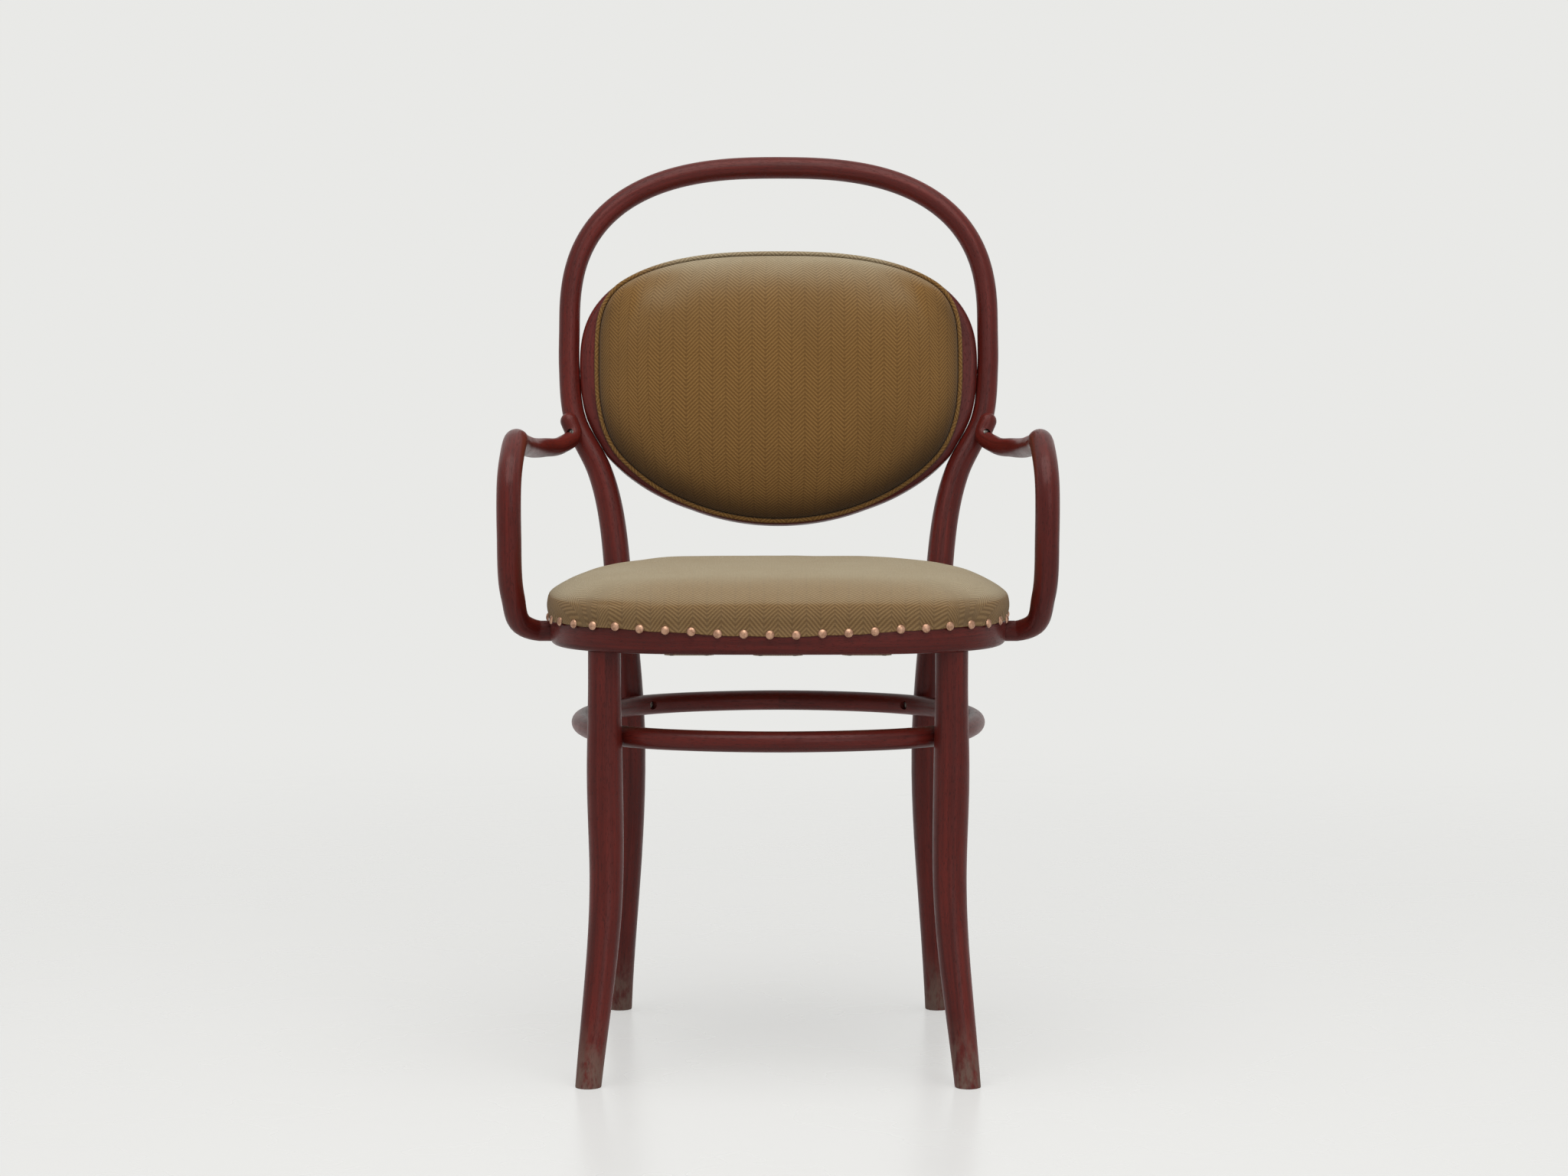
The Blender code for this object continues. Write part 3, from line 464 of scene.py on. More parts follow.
def arm_path(bow):
    """The sitter's left arm's axis from its tip on the bow to the seat ring, and how its tip laps the bow."""
    crest_height = SEAT_TOP + ARM_RISE
    lap = Vector((cos(ARM_LAP_ANGLE), sin(ARM_LAP_ANGLE), 0.0))
    tips = []
    for height in (crest_height + ARM_TIP_RISE + ARM_TIP_LENGTH, crest_height + ARM_TIP_RISE):
        beside = at_height(bow, height)
        reach = beside.w + ARM_TIP_RADIUS - ARM_LET_IN
        tips.append(key(beside.resized(3) + lap * reach, ARM_TIP_RADIUS))
    joint = Vector((*seat_point(ARM_ANGLE), ARM_JOINT_HEIGHT))
    out = Vector((*outward(seat_point, ARM_ANGLE), 0.0))
    tip = tips[1]
    front = Vector(((joint.x + tip.x) / 2 + ARM_SPREAD, joint.y - ARM_REACH, crest_height))
    spread = front.x - joint.x
    length = tip.y - front.y
    drop = crest_height - joint.z
    across = front.x - tip.x
    wrist = (tip.x + 0.24 * across, front.y + 0.925 * length, crest_height - 0.93 * ARM_DIP)
    dip = (tip.x + 0.56 * across, front.y + 0.83 * length, crest_height - ARM_DIP)
    crest = (tip.x + 0.88 * across, front.y + 0.48 * length, crest_height - 0.30 * ARM_DIP)
    brow = (front.x - 0.06 * spread, front.y + 0.165 * length, crest_height)
    bend_point = (front.x, front.y + 0.016 * length, crest_height - 0.18 * drop)
    shank = (front.x, front.y, crest_height - 0.45 * drop)
    shin = (front.x - 0.07 * spread, joint.y - 0.70 * ARM_REACH, joint.z + 0.20 * drop)
    heel = (joint.x + 0.70 * spread, joint.y - 0.20 * ARM_REACH, joint.z + 0.035 * drop)
    keys = tips + [key(wrist, ARM_TIP_RADIUS), key(dip, ARM_DIP_RADIUS), key(crest, ARM_CREST_RADIUS)]
    keys += [key(place, ARM_RADIUS) for place in (brow, bend_point, shank)]
    keys += [key(shin, ARM_RADIUS * 0.97), key(heel, ARM_RADIUS * 0.9)]
    keys += [key(joint + out * reach, ARM_END_RADIUS) for reach in (0.28 * spread, FIT)]
    return bend(keys), tip, -lap


def feed(tree, socket, value):
    """Links a node's socket to another one or to a signal, or sets its value."""
    source = value.socket if isinstance(value, Signal) else value
    if isinstance(source, bpy.types.NodeSocket):
        tree.links.new(source, socket)
    else:
        socket.default_value = source


def add_node(tree, kind, settings=None, inputs=None):
    """Any node: its settings first, then the values or links of its sockets."""
    made = tree.nodes.new(kind)
    for name, value in (settings or {}).items():
        setattr(made, name, value)
    for name, value in (inputs or {}).items():
        feed(tree, made.inputs[name], value)
    return made


class Signal:
    """A shader socket that takes part in arithmetic: each operation adds a Math node."""

    def __init__(self, finish, socket):
        self.finish = finish
        self.socket = socket

    def math(self, operation, *values):
        inputs = dict(enumerate(values))
        return self.finish.node("ShaderNodeMath", {"operation": operation}, inputs)

    def __add__(self, other):
        return self.math("ADD", self, other)

    def __sub__(self, other):
        return self.math("SUBTRACT", self, other)

    def __rsub__(self, other):
        return self.math("SUBTRACT", other, self)

    def __mul__(self, other):
        return self.math("MULTIPLY", self, other)

    __radd__ = __add__
    __rmul__ = __mul__

    def zigzag(self, height):
        """Up to the height and back again, as a wave of straight lines."""
        return self.math("PINGPONG", self, height)

    def ripple(self, width):
        """From 0 to 1 over a width, and back to 0 over the next."""
        return self.zigzag(width) * (1 / width)

    def between(self, low, high):
        """0 below the low value and 1 above the high one, with a soft step."""
        inputs = {"Value": self, "From Min": low, "From Max": high}
        return self.finish.node("ShaderNodeMapRange", {"interpolation_type": "SMOOTHSTEP"}, inputs)


class Finish:
    """A procedural material while it is made."""

    def __init__(self, name, **constants):
        self.material = bpy.data.materials.new(name)
        self.material.use_nodes = True
        self.tree = self.material.node_tree
        self.surface = self.tree.nodes["Principled BSDF"]
        self.show(**constants)

    def node(self, kind, settings=None, inputs=None, output=0):
        return Signal(self, add_node(self.tree, kind, settings, inputs).outputs[output])

    def show(self, **sockets):
        """Sets or links the surface's sockets; an underscore stands for a space."""
        for name, value in sockets.items():
            feed(self.tree, self.surface.inputs[name.replace("_", " ")], value)

    def own(self, attribute):
        """A vector that the piece's mesh carries."""
        return self.node("ShaderNodeAttribute", {"attribute_name": attribute}, output="Vector")

    def place(self):
        return self.node("ShaderNodeTexCoord", output="Object")

    def parts(self, vector):
        split = add_node(self.tree, "ShaderNodeSeparateXYZ", None, {0: vector})
        return [Signal(self, socket) for socket in split.outputs]

    def clouds(self, vector, scale, detail, roughness):
        inputs = {"Vector": vector, "Scale": scale, "Detail": detail, "Roughness": roughness}
        return self.node("ShaderNodeTexNoise", None, inputs)

    def streaks(self, vector, scale, detail, roughness):
        """Clouds drawn out by a scale of their own in each direction."""
        stretched = self.node("ShaderNodeVectorMath", {"operation": "MULTIPLY"}, {0: vector, 1: scale})
        return self.clouds(stretched, 1.0, detail, roughness)

    def mixed(self, share, first, second):
        settings = {"data_type": "RGBA", "blend_type": "MIX", "clamp_factor": True}
        return self.node("ShaderNodeMix", settings, {0: share, 6: first, 7: second}, output=2)

    def raised(self, height, distance, strength=1.0):
        """A normal from a height in parts of a distance in metres."""
        inputs = {"Strength": strength, "Distance": distance, "Height": height}
        return self.node("ShaderNodeBump", None, inputs)


def lacquered_beech():
    """Red-brown stain in the grain under a gloss lacquer, rubbed paler and duller at the feet."""
    finish = Finish("stained_beech", Specular_IOR_Level=0.17, Coat_Roughness=0.16, Coat_IOR=1.45)
    grain = finish.own("grain")
    place = finish.place()
    streaks = finish.streaks(grain, (230.0, 230.0, 7.0), 4.0, 0.62)
    bands = finish.streaks(grain, (55.0, 55.0, 2.2), 2.0, 0.5)
    flecks = finish.streaks(grain, (1500.0, 1500.0, 170.0), 1.0, 0.4).between(0.60, 0.72)
    patches = finish.clouds(place, 16.0, 3.0, 0.55)
    figure = (streaks * 0.65 + bands * 0.35).between(0.30, 0.70)
    stain = finish.mixed(figure, (0.055, 0.0056, 0.0040, 1.0), (0.138, 0.0152, 0.0104, 1.0))
    stain = finish.mixed(patches.between(0.30, 0.75) * 0.45, stain, (0.070, 0.0080, 0.0056, 1.0))
    stain = finish.mixed(flecks * 0.55, stain, (0.026, 0.0040, 0.0034, 1.0))
    height = finish.parts(place)[2]
    scuffs = finish.streaks(place, (90.0, 90.0, 34.0), 4.0, 0.65)
    rubbed = (1 - height.between(0.004, 0.075)) * scuffs.between(0.34, 0.60)
    stain = finish.mixed(rubbed * 0.80, stain, (0.165, 0.112, 0.088, 1.0))
    dulled = finish.clouds(place, 60.0, 3.0, 0.6)
    finish.show(Base_Color=stain, Roughness=0.30 + dulled * 0.16 + rubbed * 0.3 + flecks * 0.1)
    finish.show(Coat_Weight=0.11 - rubbed * 0.10 - dulled.between(0.45, 0.75) * 0.05)
    finish.show(Normal=finish.raised(streaks * 0.5 - flecks * 0.8 + dulled * 0.25, 0.00022))
    return finish.material


def wool_twill():
    """Olive-brown wool in a faint herringbone, paler by fading and a painted highlight where the cloth
    attribute's third value is above 0, and darker with painted shade where it is below 0.
    """
    finish = Finish("wool_twill", Sheen_Weight=0.12, Sheen_Roughness=0.55)
    finish.show(Sheen_Tint=(0.86, 0.80, 0.68, 1.0), Specular_IOR_Level=0.12)
    cloth = finish.own("cloth")
    across, along, fade_and_light = finish.parts(cloth)
    place = finish.place()
    strayed = finish.clouds(place, 45.0, 2.0, 0.5)
    slant = (along + across.zigzag(COLUMN) + strayed * 0.0018).ripple(TWILL_PITCH / 2)
    column = across.ripple(COLUMN)
    break_line = (1 - column.between(0.02, 0.10)) + column.between(0.90, 0.98)
    warp = across.ripple(YARN / 2)
    weft = along.ripple(YARN / 2)
    yarn = warp.between(0.1, 0.8) * weft.between(0.1, 0.8)
    slubs = finish.streaks(cloth, (520.0, 90.0, 0.0), 3.0, 0.6)
    soil = finish.clouds(place, 11.0, 4.0, 0.6)
    rib = slant.between(0.2, 0.8)
    dark = (0.122, 0.056, 0.0135, 1.0)
    light = (0.292, 0.159, 0.049, 1.0)
    figure = rib * 0.62 + slubs * 0.38
    wool = finish.mixed(figure, dark, light)
    wool = finish.mixed(break_line * 0.34, wool, (0.120, 0.058, 0.016, 1.0))
    wool = finish.mixed((1 - yarn) * 0.22, wool, (0.092, 0.043, 0.012, 1.0))
    wool = finish.mixed(soil.between(0.42, 0.72) * 0.30, wool, (0.142, 0.073, 0.022, 1.0))
    # Painted highlight together with fading: a paler copy of the cloth where it faces up to the overhead
    # light
    pale_share = fade_and_light * (0.72 + soil * 0.4)
    pale = finish.mixed(figure, (0.250, 0.200, 0.126, 1.0), (0.455, 0.386, 0.262, 1.0))
    wool = finish.mixed(pale_share, wool, pale)
    # Painted shade: the cloth darkened towards a near-black brown where the third value is below 0
    shade_share = (0 - fade_and_light).between(0.0, 1.0) * (0.80 + soil * 0.3)
    wool = finish.mixed(shade_share, wool, (0.030, 0.0145, 0.0052, 1.0))
    finish.show(Base_Color=wool, Roughness=0.90 + slubs * 0.10)
    finish.show(Normal=finish.raised(rib * 0.55 + yarn * 0.35 + slubs * 0.5, 0.0006, 0.85))
    return finish.material


def jute_webbing():
    """Coarse woven strap with a dark stripe near each edge."""
    finish = Finish("jute", Specular_IOR_Level=0.2)
    weave = finish.own("weave")
    along, across, _ = finish.parts(weave)
    warp = across.ripple(STRAP_WARP)
    weft = along.ripple(STRAP_WEFT)
    threads = warp.between(0.1, 0.9) * 0.6 + weft.between(0.1, 0.9) * 0.4
    fibres = finish.streaks(weave, (60.0, 900.0, 1.0), 3.0, 0.65)
    aside = across.math("ABSOLUTE", across)
    outside = aside.between(STRIPE_TO, STRIPE_TO + STRIPE_BLUR)
    stripe = aside.between(STRIPE_FROM, STRIPE_FROM + STRIPE_BLUR) * (1 - outside)
    soil = finish.clouds(finish.place(), 20.0, 3.0, 0.6)
    straw = finish.mixed(threads * 0.55 + fibres * 0.45, (0.20, 0.130, 0.060, 1.0), (0.50, 0.37, 0.205, 1.0))
    straw = finish.mixed(stripe * 0.75, straw, (0.10, 0.052, 0.030, 1.0))
    straw = finish.mixed(soil.between(0.4, 0.75) * 0.4, straw, (0.22, 0.155, 0.085, 1.0))
    finish.show(Base_Color=straw, Roughness=0.88 + fibres * 0.1)
    finish.show(Normal=finish.raised(threads + fibres * 0.4, 0.0005))
    return finish.material


def hessian():
    """Loose brown sacking under the stuffing."""
    finish = Finish("hessian", Specular_IOR_Level=0.2)
    place = finish.place()
    along, across, _ = finish.parts(place)
    loose = finish.clouds(place, 160.0, 2.0, 0.5)
    warp = (along + loose * 0.0012).ripple(SACKING_YARN)
    weft = (across + loose * 0.0012).ripple(SACKING_YARN)
    threads = warp.between(0.15, 0.85) * weft.between(0.15, 0.85)
    soil = finish.clouds(place, 14.0, 4.0, 0.6)
    sacking = finish.mixed(threads, (0.075, 0.045, 0.022, 1.0), (0.30, 0.21, 0.115, 1.0))
    sacking = finish.mixed(soil.between(0.4, 0.7) * 0.45, sacking, (0.15, 0.098, 0.052, 1.0))
    finish.show(Base_Color=sacking, Roughness=0.9 + loose * 0.08)
    finish.show(Normal=finish.raised(threads + loose * 0.4, 0.0006))
    return finish.material


def worn_metal(name, bright, stained, rough):
    """Turned metal that has darkened in patches and been rubbed bright again."""
    finish = Finish(name)
    place = finish.place()
    tarnish = finish.clouds(place, 260.0, 4.0, 0.6)
    scratches = finish.streaks(place, (2600.0, 900.0, 1700.0), 2.0, 0.5)
    cover = tarnish.between(0.40, 0.68)
    finish.show(Base_Color=finish.mixed(cover * 0.75, bright, stained), Metallic=1.0 - cover * 0.25)
    finish.show(Roughness=rough + cover * 0.25 + scratches * 0.12)
    finish.show(Normal=finish.raised(scratches * 0.4 + tarnish, 0.00006))
    return finish.material


def raw_board():
    """Unfinished softwood board behind the stuffing."""
    finish = Finish("raw_board", Specular_IOR_Level=0.3)
    place = finish.place()
    rings = finish.streaks(place, (6.0, 180.0, 180.0), 3.0, 0.6)
    fibre = finish.streaks(place, (40.0, 1400.0, 1400.0), 2.0, 0.5)
    wood = finish.mixed(rings.between(0.3, 0.7), (0.36, 0.23, 0.115, 1.0), (0.52, 0.37, 0.215, 1.0))
    wood = finish.mixed(fibre * 0.3, wood, (0.25, 0.15, 0.075, 1.0))
    finish.show(Base_Color=wood, Roughness=0.72 + fibre * 0.2)
    finish.show(Normal=finish.raised(rings * 0.5 + fibre, 0.0003))
    return finish.material


def add_object(name, data):
    """A new object at the origin that carries a mesh, a lamp or a camera."""
    piece = bpy.data.objects.new(name, data)
    bpy.context.scene.collection.objects.link(piece)
    return piece


def shape_object(name, shape):
    """A new object from a shape that was put together face by face."""
    mesh = bpy.data.meshes.new(name)
    shape.to_mesh(mesh)
    shape.free()
    return add_object(name, mesh)


def plain_mesh(piece):
    """What an object shows with its modifiers, as a plain mesh."""
    graph = bpy.context.evaluated_depsgraph_get()
    mesh = bpy.data.meshes.new_from_object(piece.evaluated_get(graph))
    mesh.name = piece.name
    return mesh


def settle(piece):
    """Turns an object's modifiers into its own mesh."""
    mesh = plain_mesh(piece)
    piece.modifiers.clear()
    piece.data = mesh
    return piece


def line_mesh(name, points, loop, thickness=None):
    """A path as edges, with the rod's thickness at each of its points."""
    mesh = bpy.data.meshes.new(name)
    edges = [(index, index + 1) for index in range(len(points) - 1)]
    if loop:
        edges.append((len(points) - 1, 0))
    mesh.from_pydata([point.resized(3) for point in points], edges, [])
    widths = mesh.attributes.new("thickness", "FLOAT", "POINT")
    for index, item in enumerate(widths.data):
        item.value = thickness[index] if thickness else 1.0
    return mesh


class Tree:
    """A Geometry Nodes tree while it is made, with named inputs."""

    def __init__(self, name, **inputs):
        self.tree = bpy.data.node_groups.new(name, "GeometryNodeTree")
        self.inputs = {}
        for label, kind in inputs.items():
            socket = self.tree.interface.new_socket(label, in_out="INPUT", socket_type=kind)
            self.inputs[label] = socket.identifier
        self.tree.interface.new_socket("Shape", in_out="OUTPUT", socket_type="NodeSocketGeometry")
        self.given = self.tree.nodes.new("NodeGroupInput")

    def node(self, kind, settings=None, inputs=None):
        return add_node(self.tree, kind, settings, inputs)

    def end(self, shape, material):
        """Realizes what the tree made and gives it its material."""
        real = self.node("GeometryNodeRealizeInstances", None, {0: shape})
        dressed = self.node("GeometryNodeSetMaterial", None, {0: real.outputs[0], "Material": material})
        self.node("NodeGroupOutput", None, {0: dressed.outputs[0]})
        return self

    def apply(self, name, source, **values):
        """Runs the tree on a mesh and gives the result as a new object with a plain mesh."""
        piece = add_object(name, source)
        modifier = piece.modifiers.new(self.tree.name, "NODES")
        modifier.node_group = self.tree
        for label, value in values.items():
            modifier[self.inputs[label]] = value
        piece.update_tag()
        bpy.context.view_layer.update()
        return settle(piece)


def rod_tree(name, mode):
    """A tree that draws a section along a path, as thick at each place as the path says."""
    kinds = {"Path": "NodeSocketGeometry", "Section": "NodeSocketObject", "Finish": "NodeSocketMaterial"}
    tree = Tree(name, **kinds)
    path = tree.node("GeometryNodeMeshToCurve", None, {0: tree.given.outputs["Path"]})
    turned = tree.node("GeometryNodeSetCurveNormal", {"mode": mode}, {0: path.outputs[0]})
    section = tree.node("GeometryNodeObjectInfo", None, {"Object": tree.given.outputs["Section"]})
    profile = tree.node("GeometryNodeMeshToCurve", None, {0: section.outputs["Geometry"]})
    wide = tree.node("GeometryNodeInputNamedAttribute", {"data_type": "FLOAT"}, {"Name": "thickness"})
    inputs = {"Curve": turned.outputs[0], "Profile Curve": profile.outputs[0], "Fill Caps": True}
    inputs["Scale"] = wide.outputs[0]
    drawn = tree.node("GeometryNodeCurveToMesh", None, inputs)
    soft = tree.node("GeometryNodeSetShadeSmooth", None, {0: drawn.outputs[0]})
    return tree.end(soft.outputs[0], tree.given.outputs["Finish"])


def row_tree():
    """A tree that sets one small shape at every point of a mesh, turned to the point's own direction."""
    kinds = {"Points": "NodeSocketGeometry", "Shape": "NodeSocketObject", "Finish": "NodeSocketMaterial"}
    kinds.update(Stray="NodeSocketFloat", Seed="NodeSocketInt")
    tree = Tree("row of fasteners", **kinds)
    shape = tree.node("GeometryNodeObjectInfo", None, {"Object": tree.given.outputs["Shape"]})
    facing = tree.node("GeometryNodeInputNamedAttribute", {"data_type": "FLOAT_VECTOR"}, {"Name": "facing"})
    upright = tree.node("FunctionNodeAlignRotationToVector", {"axis": "Z"}, {"Vector": facing.outputs[0]})
    stray = tree.given.outputs["Stray"]
    less = tree.node("ShaderNodeMath", {"operation": "MULTIPLY"}, {0: stray, 1: -1.0})
    low = tree.node("ShaderNodeCombineXYZ", None, {0: less.outputs[0], 1: less.outputs[0], 2: -pi})
    high = tree.node("ShaderNodeCombineXYZ", None, {0: stray, 1: stray, 2: pi})
    span = {"Min": low.outputs[0], "Max": high.outputs[0], "Seed": tree.given.outputs["Seed"]}
    chance = tree.node("FunctionNodeRandomValue", {"data_type": "FLOAT_VECTOR"}, span)
    tilt = tree.node("FunctionNodeEulerToRotation", None, {0: chance.outputs[0]})
    both = {"Rotation": upright.outputs[0], "Rotate By": tilt.outputs[0]}
    turned = tree.node("FunctionNodeRotateRotation", {"rotation_space": "LOCAL"}, both)
    inputs = {"Points": tree.given.outputs["Points"], "Instance": shape.outputs["Geometry"]}
    inputs["Rotation"] = turned.outputs[0]
    placed = tree.node("GeometryNodeInstanceOnPoints", None, inputs)
    soft = tree.node("GeometryNodeSetShadeSmooth", None, {0: placed.outputs[0]})
    return tree.end(soft.outputs[0], tree.given.outputs["Finish"])


def section_object(name, points):
    """A closed section in its own plane, for a tree to draw along a path; it isn't part of the chair."""
    return add_object(name, line_mesh(name, [Vector((*point, 0.0)) for point in points], True))


def circle(sides):
    return [(cos(tau * turn / sides), sin(tau * turn / sides)) for turn in range(sides)]


def arc(centre, radius, start, end, steps):
    """Points of a round corner; the angles are in degrees."""
    turns = [radians(start + (end - start) * step / steps) for step in range(steps + 1)]
    return [(centre[0] + radius * cos(turn), centre[1] + radius * sin(turn)) for turn in turns]


def carry(mesh, name, rings, sides, values, loop):
    """Writes a vector for each ring and side of a drawn rod into the corners of its mesh."""
    layer = mesh.attributes.new(name, "FLOAT_VECTOR", "CORNER")
    for face in mesh.polygons:
        corners = [(corner, *divmod(mesh.loops[corner].vertex_index, sides)) for corner in face.loop_indices]
        over_seam = loop and {0, rings - 1} <= {ring for _, ring, _ in corners}
        for corner, ring, side in corners:
            layer.data[corner].vector = values(rings if over_seam and ring == 0 else ring, side)


def outward_faces(mesh):
    """Merges doubles and turns every face outwards."""
    shape = bmesh.new()
    shape.from_mesh(mesh)
    bmesh.ops.remove_doubles(shape, verts=shape.verts, dist=1e-7)
    bmesh.ops.recalc_face_normals(shape, faces=shape.faces)
    shape.to_mesh(mesh)
    shape.free()


def draw_rod(name, tree, path, section, finish, loop=False, attribute="grain"):
    """A piece drawn along a path of x, y, z and radius, with the grain or the cloth following it."""
    points = [point.resized(3) for point in path]
    source = line_mesh(name, points, loop, [point.w for point in path])
    piece = tree.apply(name, source, Section=section, Finish=finish)
    outline = [vertex.co for vertex in section.data.vertices]
    reach = reaches(points + points[:1])
    around = reaches(outline + outline[:1])

    def grain_at(ring, side):
        width = path[ring % len(path)].w
        return (outline[side].x * width, outline[side].y * width, reach[ring])

    def cloth_at(ring, side):
        return (reach[ring], around[side] * path[ring % len(path)].w, 0.0)

    values = grain_at if attribute == "grain" else cloth_at
    carry(piece.data, attribute, len(points), len(outline), values, loop)
    outward_faces(piece.data)
    return piece


def carve(piece, cutters):
    """Takes cutters' shapes out of a piece and removes the cutters."""
    for cutter in cutters:
        modifier = piece.modifiers.new("cut", "BOOLEAN")
        modifier.operation = "DIFFERENCE"
        modifier.solver = "EXACT"
        modifier.object = cutter
    bpy.context.view_layer.update()
    settle(piece)
    for cutter in cutters:
        bpy.data.objects.remove(cutter)
    return piece


def bridge(shape, first, second):
    """Faces between two rings of points; one of the two may be a single point."""
    count = max(len(first), len(second))
    for index in range(count):
        after = (index + 1) % count
        if len(first) == 1:
            corners = (first[0], second[after], second[index])
        elif len(second) == 1:
            corners = (first[index], first[after], second[0])
        else:
            corners = (first[index], first[after], second[after], second[index])
        shape.faces.new(corners)


def lathe(name, profile, sides):
    """A turned shape on the Z axis from (height, radius) pairs; a radius of 0 closes it to a point."""
    shape = bmesh.new()
    rows = []
    for height, radius in profile:
        if radius == 0.0:
            rows.append([shape.verts.new((0.0, 0.0, height))])
        else:
            rows.append([shape.verts.new((radius * x, radius * y, height)) for x, y in circle(sides)])
    for low, high in zip(rows, rows[1:]):
        bridge(shape, low, high)
    for row in (rows[0], rows[-1]):
        if len(row) > 1:
            shape.faces.new(row)
    bmesh.ops.recalc_face_normals(shape, faces=shape.faces)
    return shape_object(name, shape)


def bore(start, along, profile):
    """A cutter for a stepped hole from a start point along a direction."""
    cutter = lathe("bore", profile, ROUND_SIDES)
    turn = Vector(along).to_track_quat("Z", "Y").to_matrix().to_4x4()
    cutter.data.transform(Matrix.Translation(start) @ turn)
    return cutter


def level_feet(piece):
    """Cuts a leg off level at the floor and rounds the rim of its foot a little."""
    shape = bmesh.new()
    shape.from_mesh(piece.data)
    geometry = shape.verts[:] + shape.edges[:] + shape.faces[:]
    bmesh.ops.bisect_plane(shape, geom=geometry, plane_co=(0, 0, 0), plane_no=(0, 0, -1), clear_outer=True)
    rims = [edge for edge in shape.edges if edge.is_boundary]
    bmesh.ops.holes_fill(shape, edges=rims)
    bmesh.ops.bevel(shape, geom=rims, offset=FOOT_RIM, segments=3, profile=0.5, affect="EDGES")
    bmesh.ops.recalc_face_normals(shape, faces=shape.faces)
    shape.to_mesh(piece.data)
    shape.free()


def set_row(name, places, shape, finish, stray, seed, nodes=()):
    """Puts a small shape at places with directions, as one finished piece, and removes the single shape."""
    mesh = bpy.data.meshes.new(name)
    mesh.from_pydata([place for place, _ in places], [], [])
    facing = mesh.attributes.new("facing", "FLOAT_VECTOR", "POINT")
    for item, (_, direction) in zip(facing.data, places):
        item.vector = direction
    row = rows.apply(name, mesh, Shape=shape, Finish=finish, Stray=stray, Seed=seed)
    bpy.data.objects.remove(shape)
    hand_over(row, finish, "burnished_steel", *nodes)


def hand_over(piece, finish, slot, *nodes):
    """Gives a piece its finish and puts it on the chair in the solids' stead."""
    piece.data.materials.clear()
    piece.data.materials.append(finish)
    for face in piece.data.polygons:
        face.material_index = 0
    piece.data.shade_smooth()
    piece.data.set_sharp_from_angle(angle=SHARP_ANGLE)
    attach(piece, "root")
    if nodes:
        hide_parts(*nodes)


# Finishes and trees
beech = lacquered_beech()
wool = wool_twill()
jute = jute_webbing()
sacking = hessian()
steel = worn_metal("burnished_steel", (0.46, 0.44, 0.41, 1.0), (0.16, 0.13, 0.11, 1.0), 0.28)
brass = worn_metal("aged_brass", (0.52, 0.31, 0.21, 1.0), (0.24, 0.12, 0.07, 1.0), 0.30)
board = raw_board()
bent_rod = rod_tree("bent rod", "MINIMUM_TWIST")
bent_strip = rod_tree("bent strip", "Z_UP")
rows = row_tree()

# Paths in the chair's own frame, and sections
bow_left = in_place(bow_half())
leg_left = in_place(front_leg_path())
arm_axis, arm_tip, arm_inward = arm_path(bow_half())
arm_left = in_place(arm_axis)
arm_tip = arm_tip.resized(3) + SHIFT
back_axes = Matrix((Vector((1.0, 0.0, 0.0)), UP_THE_BACK, BACK_NORMAL)).transposed()
BACK_FRAME = Matrix.Translation(hoop_centre() + SHIFT) @ back_axes.to_4x4()
round_section = section_object("round_section", circle(ROUND_SIDES))
cord_section = section_object("cord_section", circle(CORD_SIDES))


def hand_shaped(path, seed):
    """The path's radius with the small unevenness that planing by hand leaves."""
    shaped = []
    for point, reach in zip(path, reaches(path)):
        wave = noise.noise(Vector((reach * UNEVENNESS_SCALE, seed, 0.0)))
        shaped.append(key(point.resized(3), point.w * (1 + UNEVENNESS * wave)))
    return shaped


def stepped(path):
    return even(path, int(reaches(path)[-1] / ROD_STEP))


def nose_of(path):
    """Sections that close a rod's first end with a round nose."""
    back = (path[0] - path[1]).resized(3).normalized()
    turns = [radians(angle) for angle in (84, 72, 58, 44, 30, 15)]
    return [key(path[0].resized(3) + back * path[0].w * sin(t), path[0].w * cos(t)) for t in turns]


def bow_clearance(sign, middle, reach):
    """A cutter that follows one side of the bow round a height, a fit wider than it."""
    near = [point for point in mirrored(stepped(bow_left), sign) if middle - reach < point.z < middle + reach]
    wider = [key(point.resized(3), point.w + FIT) for point in near]
    return draw_rod("clearance", bent_rod, wider, round_section, beech)


def sunk_hole(start, along):
    """The counterbore for a screw head."""
    wide = SCREW_HEAD_RADIUS + FIT
    return bore(start, along, [(-SCREW_SINK, wide), (SCREW_SINK + SCREW_HEAD_ROOM, wide)])


def make_bow():
    """The bow, one rod from foot to foot, with a flat spot for each bolt's head."""
    whole = bow_left + list(reversed(mirrored(bow_left, -1.0)[:-1]))
    bow = draw_rod("back_bow_bent", bent_rod, hand_shaped(stepped(whole), 1.0), round_section, beech)
    level_feet(bow)
    spots = []
    for _, sign in SIDES:
        post, normal = rear_post(sign)
        head = post + SHIFT + normal * (POST_RADIUS - BOLT_SEAT)
        wide = BOLT_HEAD_RADIUS + FIT
        spots.append(bore(head, -normal, [(-3 * BOLT_SEAT, wide), (0.0, wide)]))
    carve(bow, spots)
    hand_over(bow, beech, "stained_beech", "back_bow")


def make_front_legs():
    """The two turned and bent front legs."""
    for side, sign in SIDES:
        path = mirrored(hand_shaped(stepped(leg_left), 7.0 + sign), sign)
        leg = draw_rod(f"front_leg_{side}_bent", bent_rod, path, round_section, beech)
        level_feet(leg)
        hand_over(leg, beech, "stained_beech", f"front_leg_{side}")


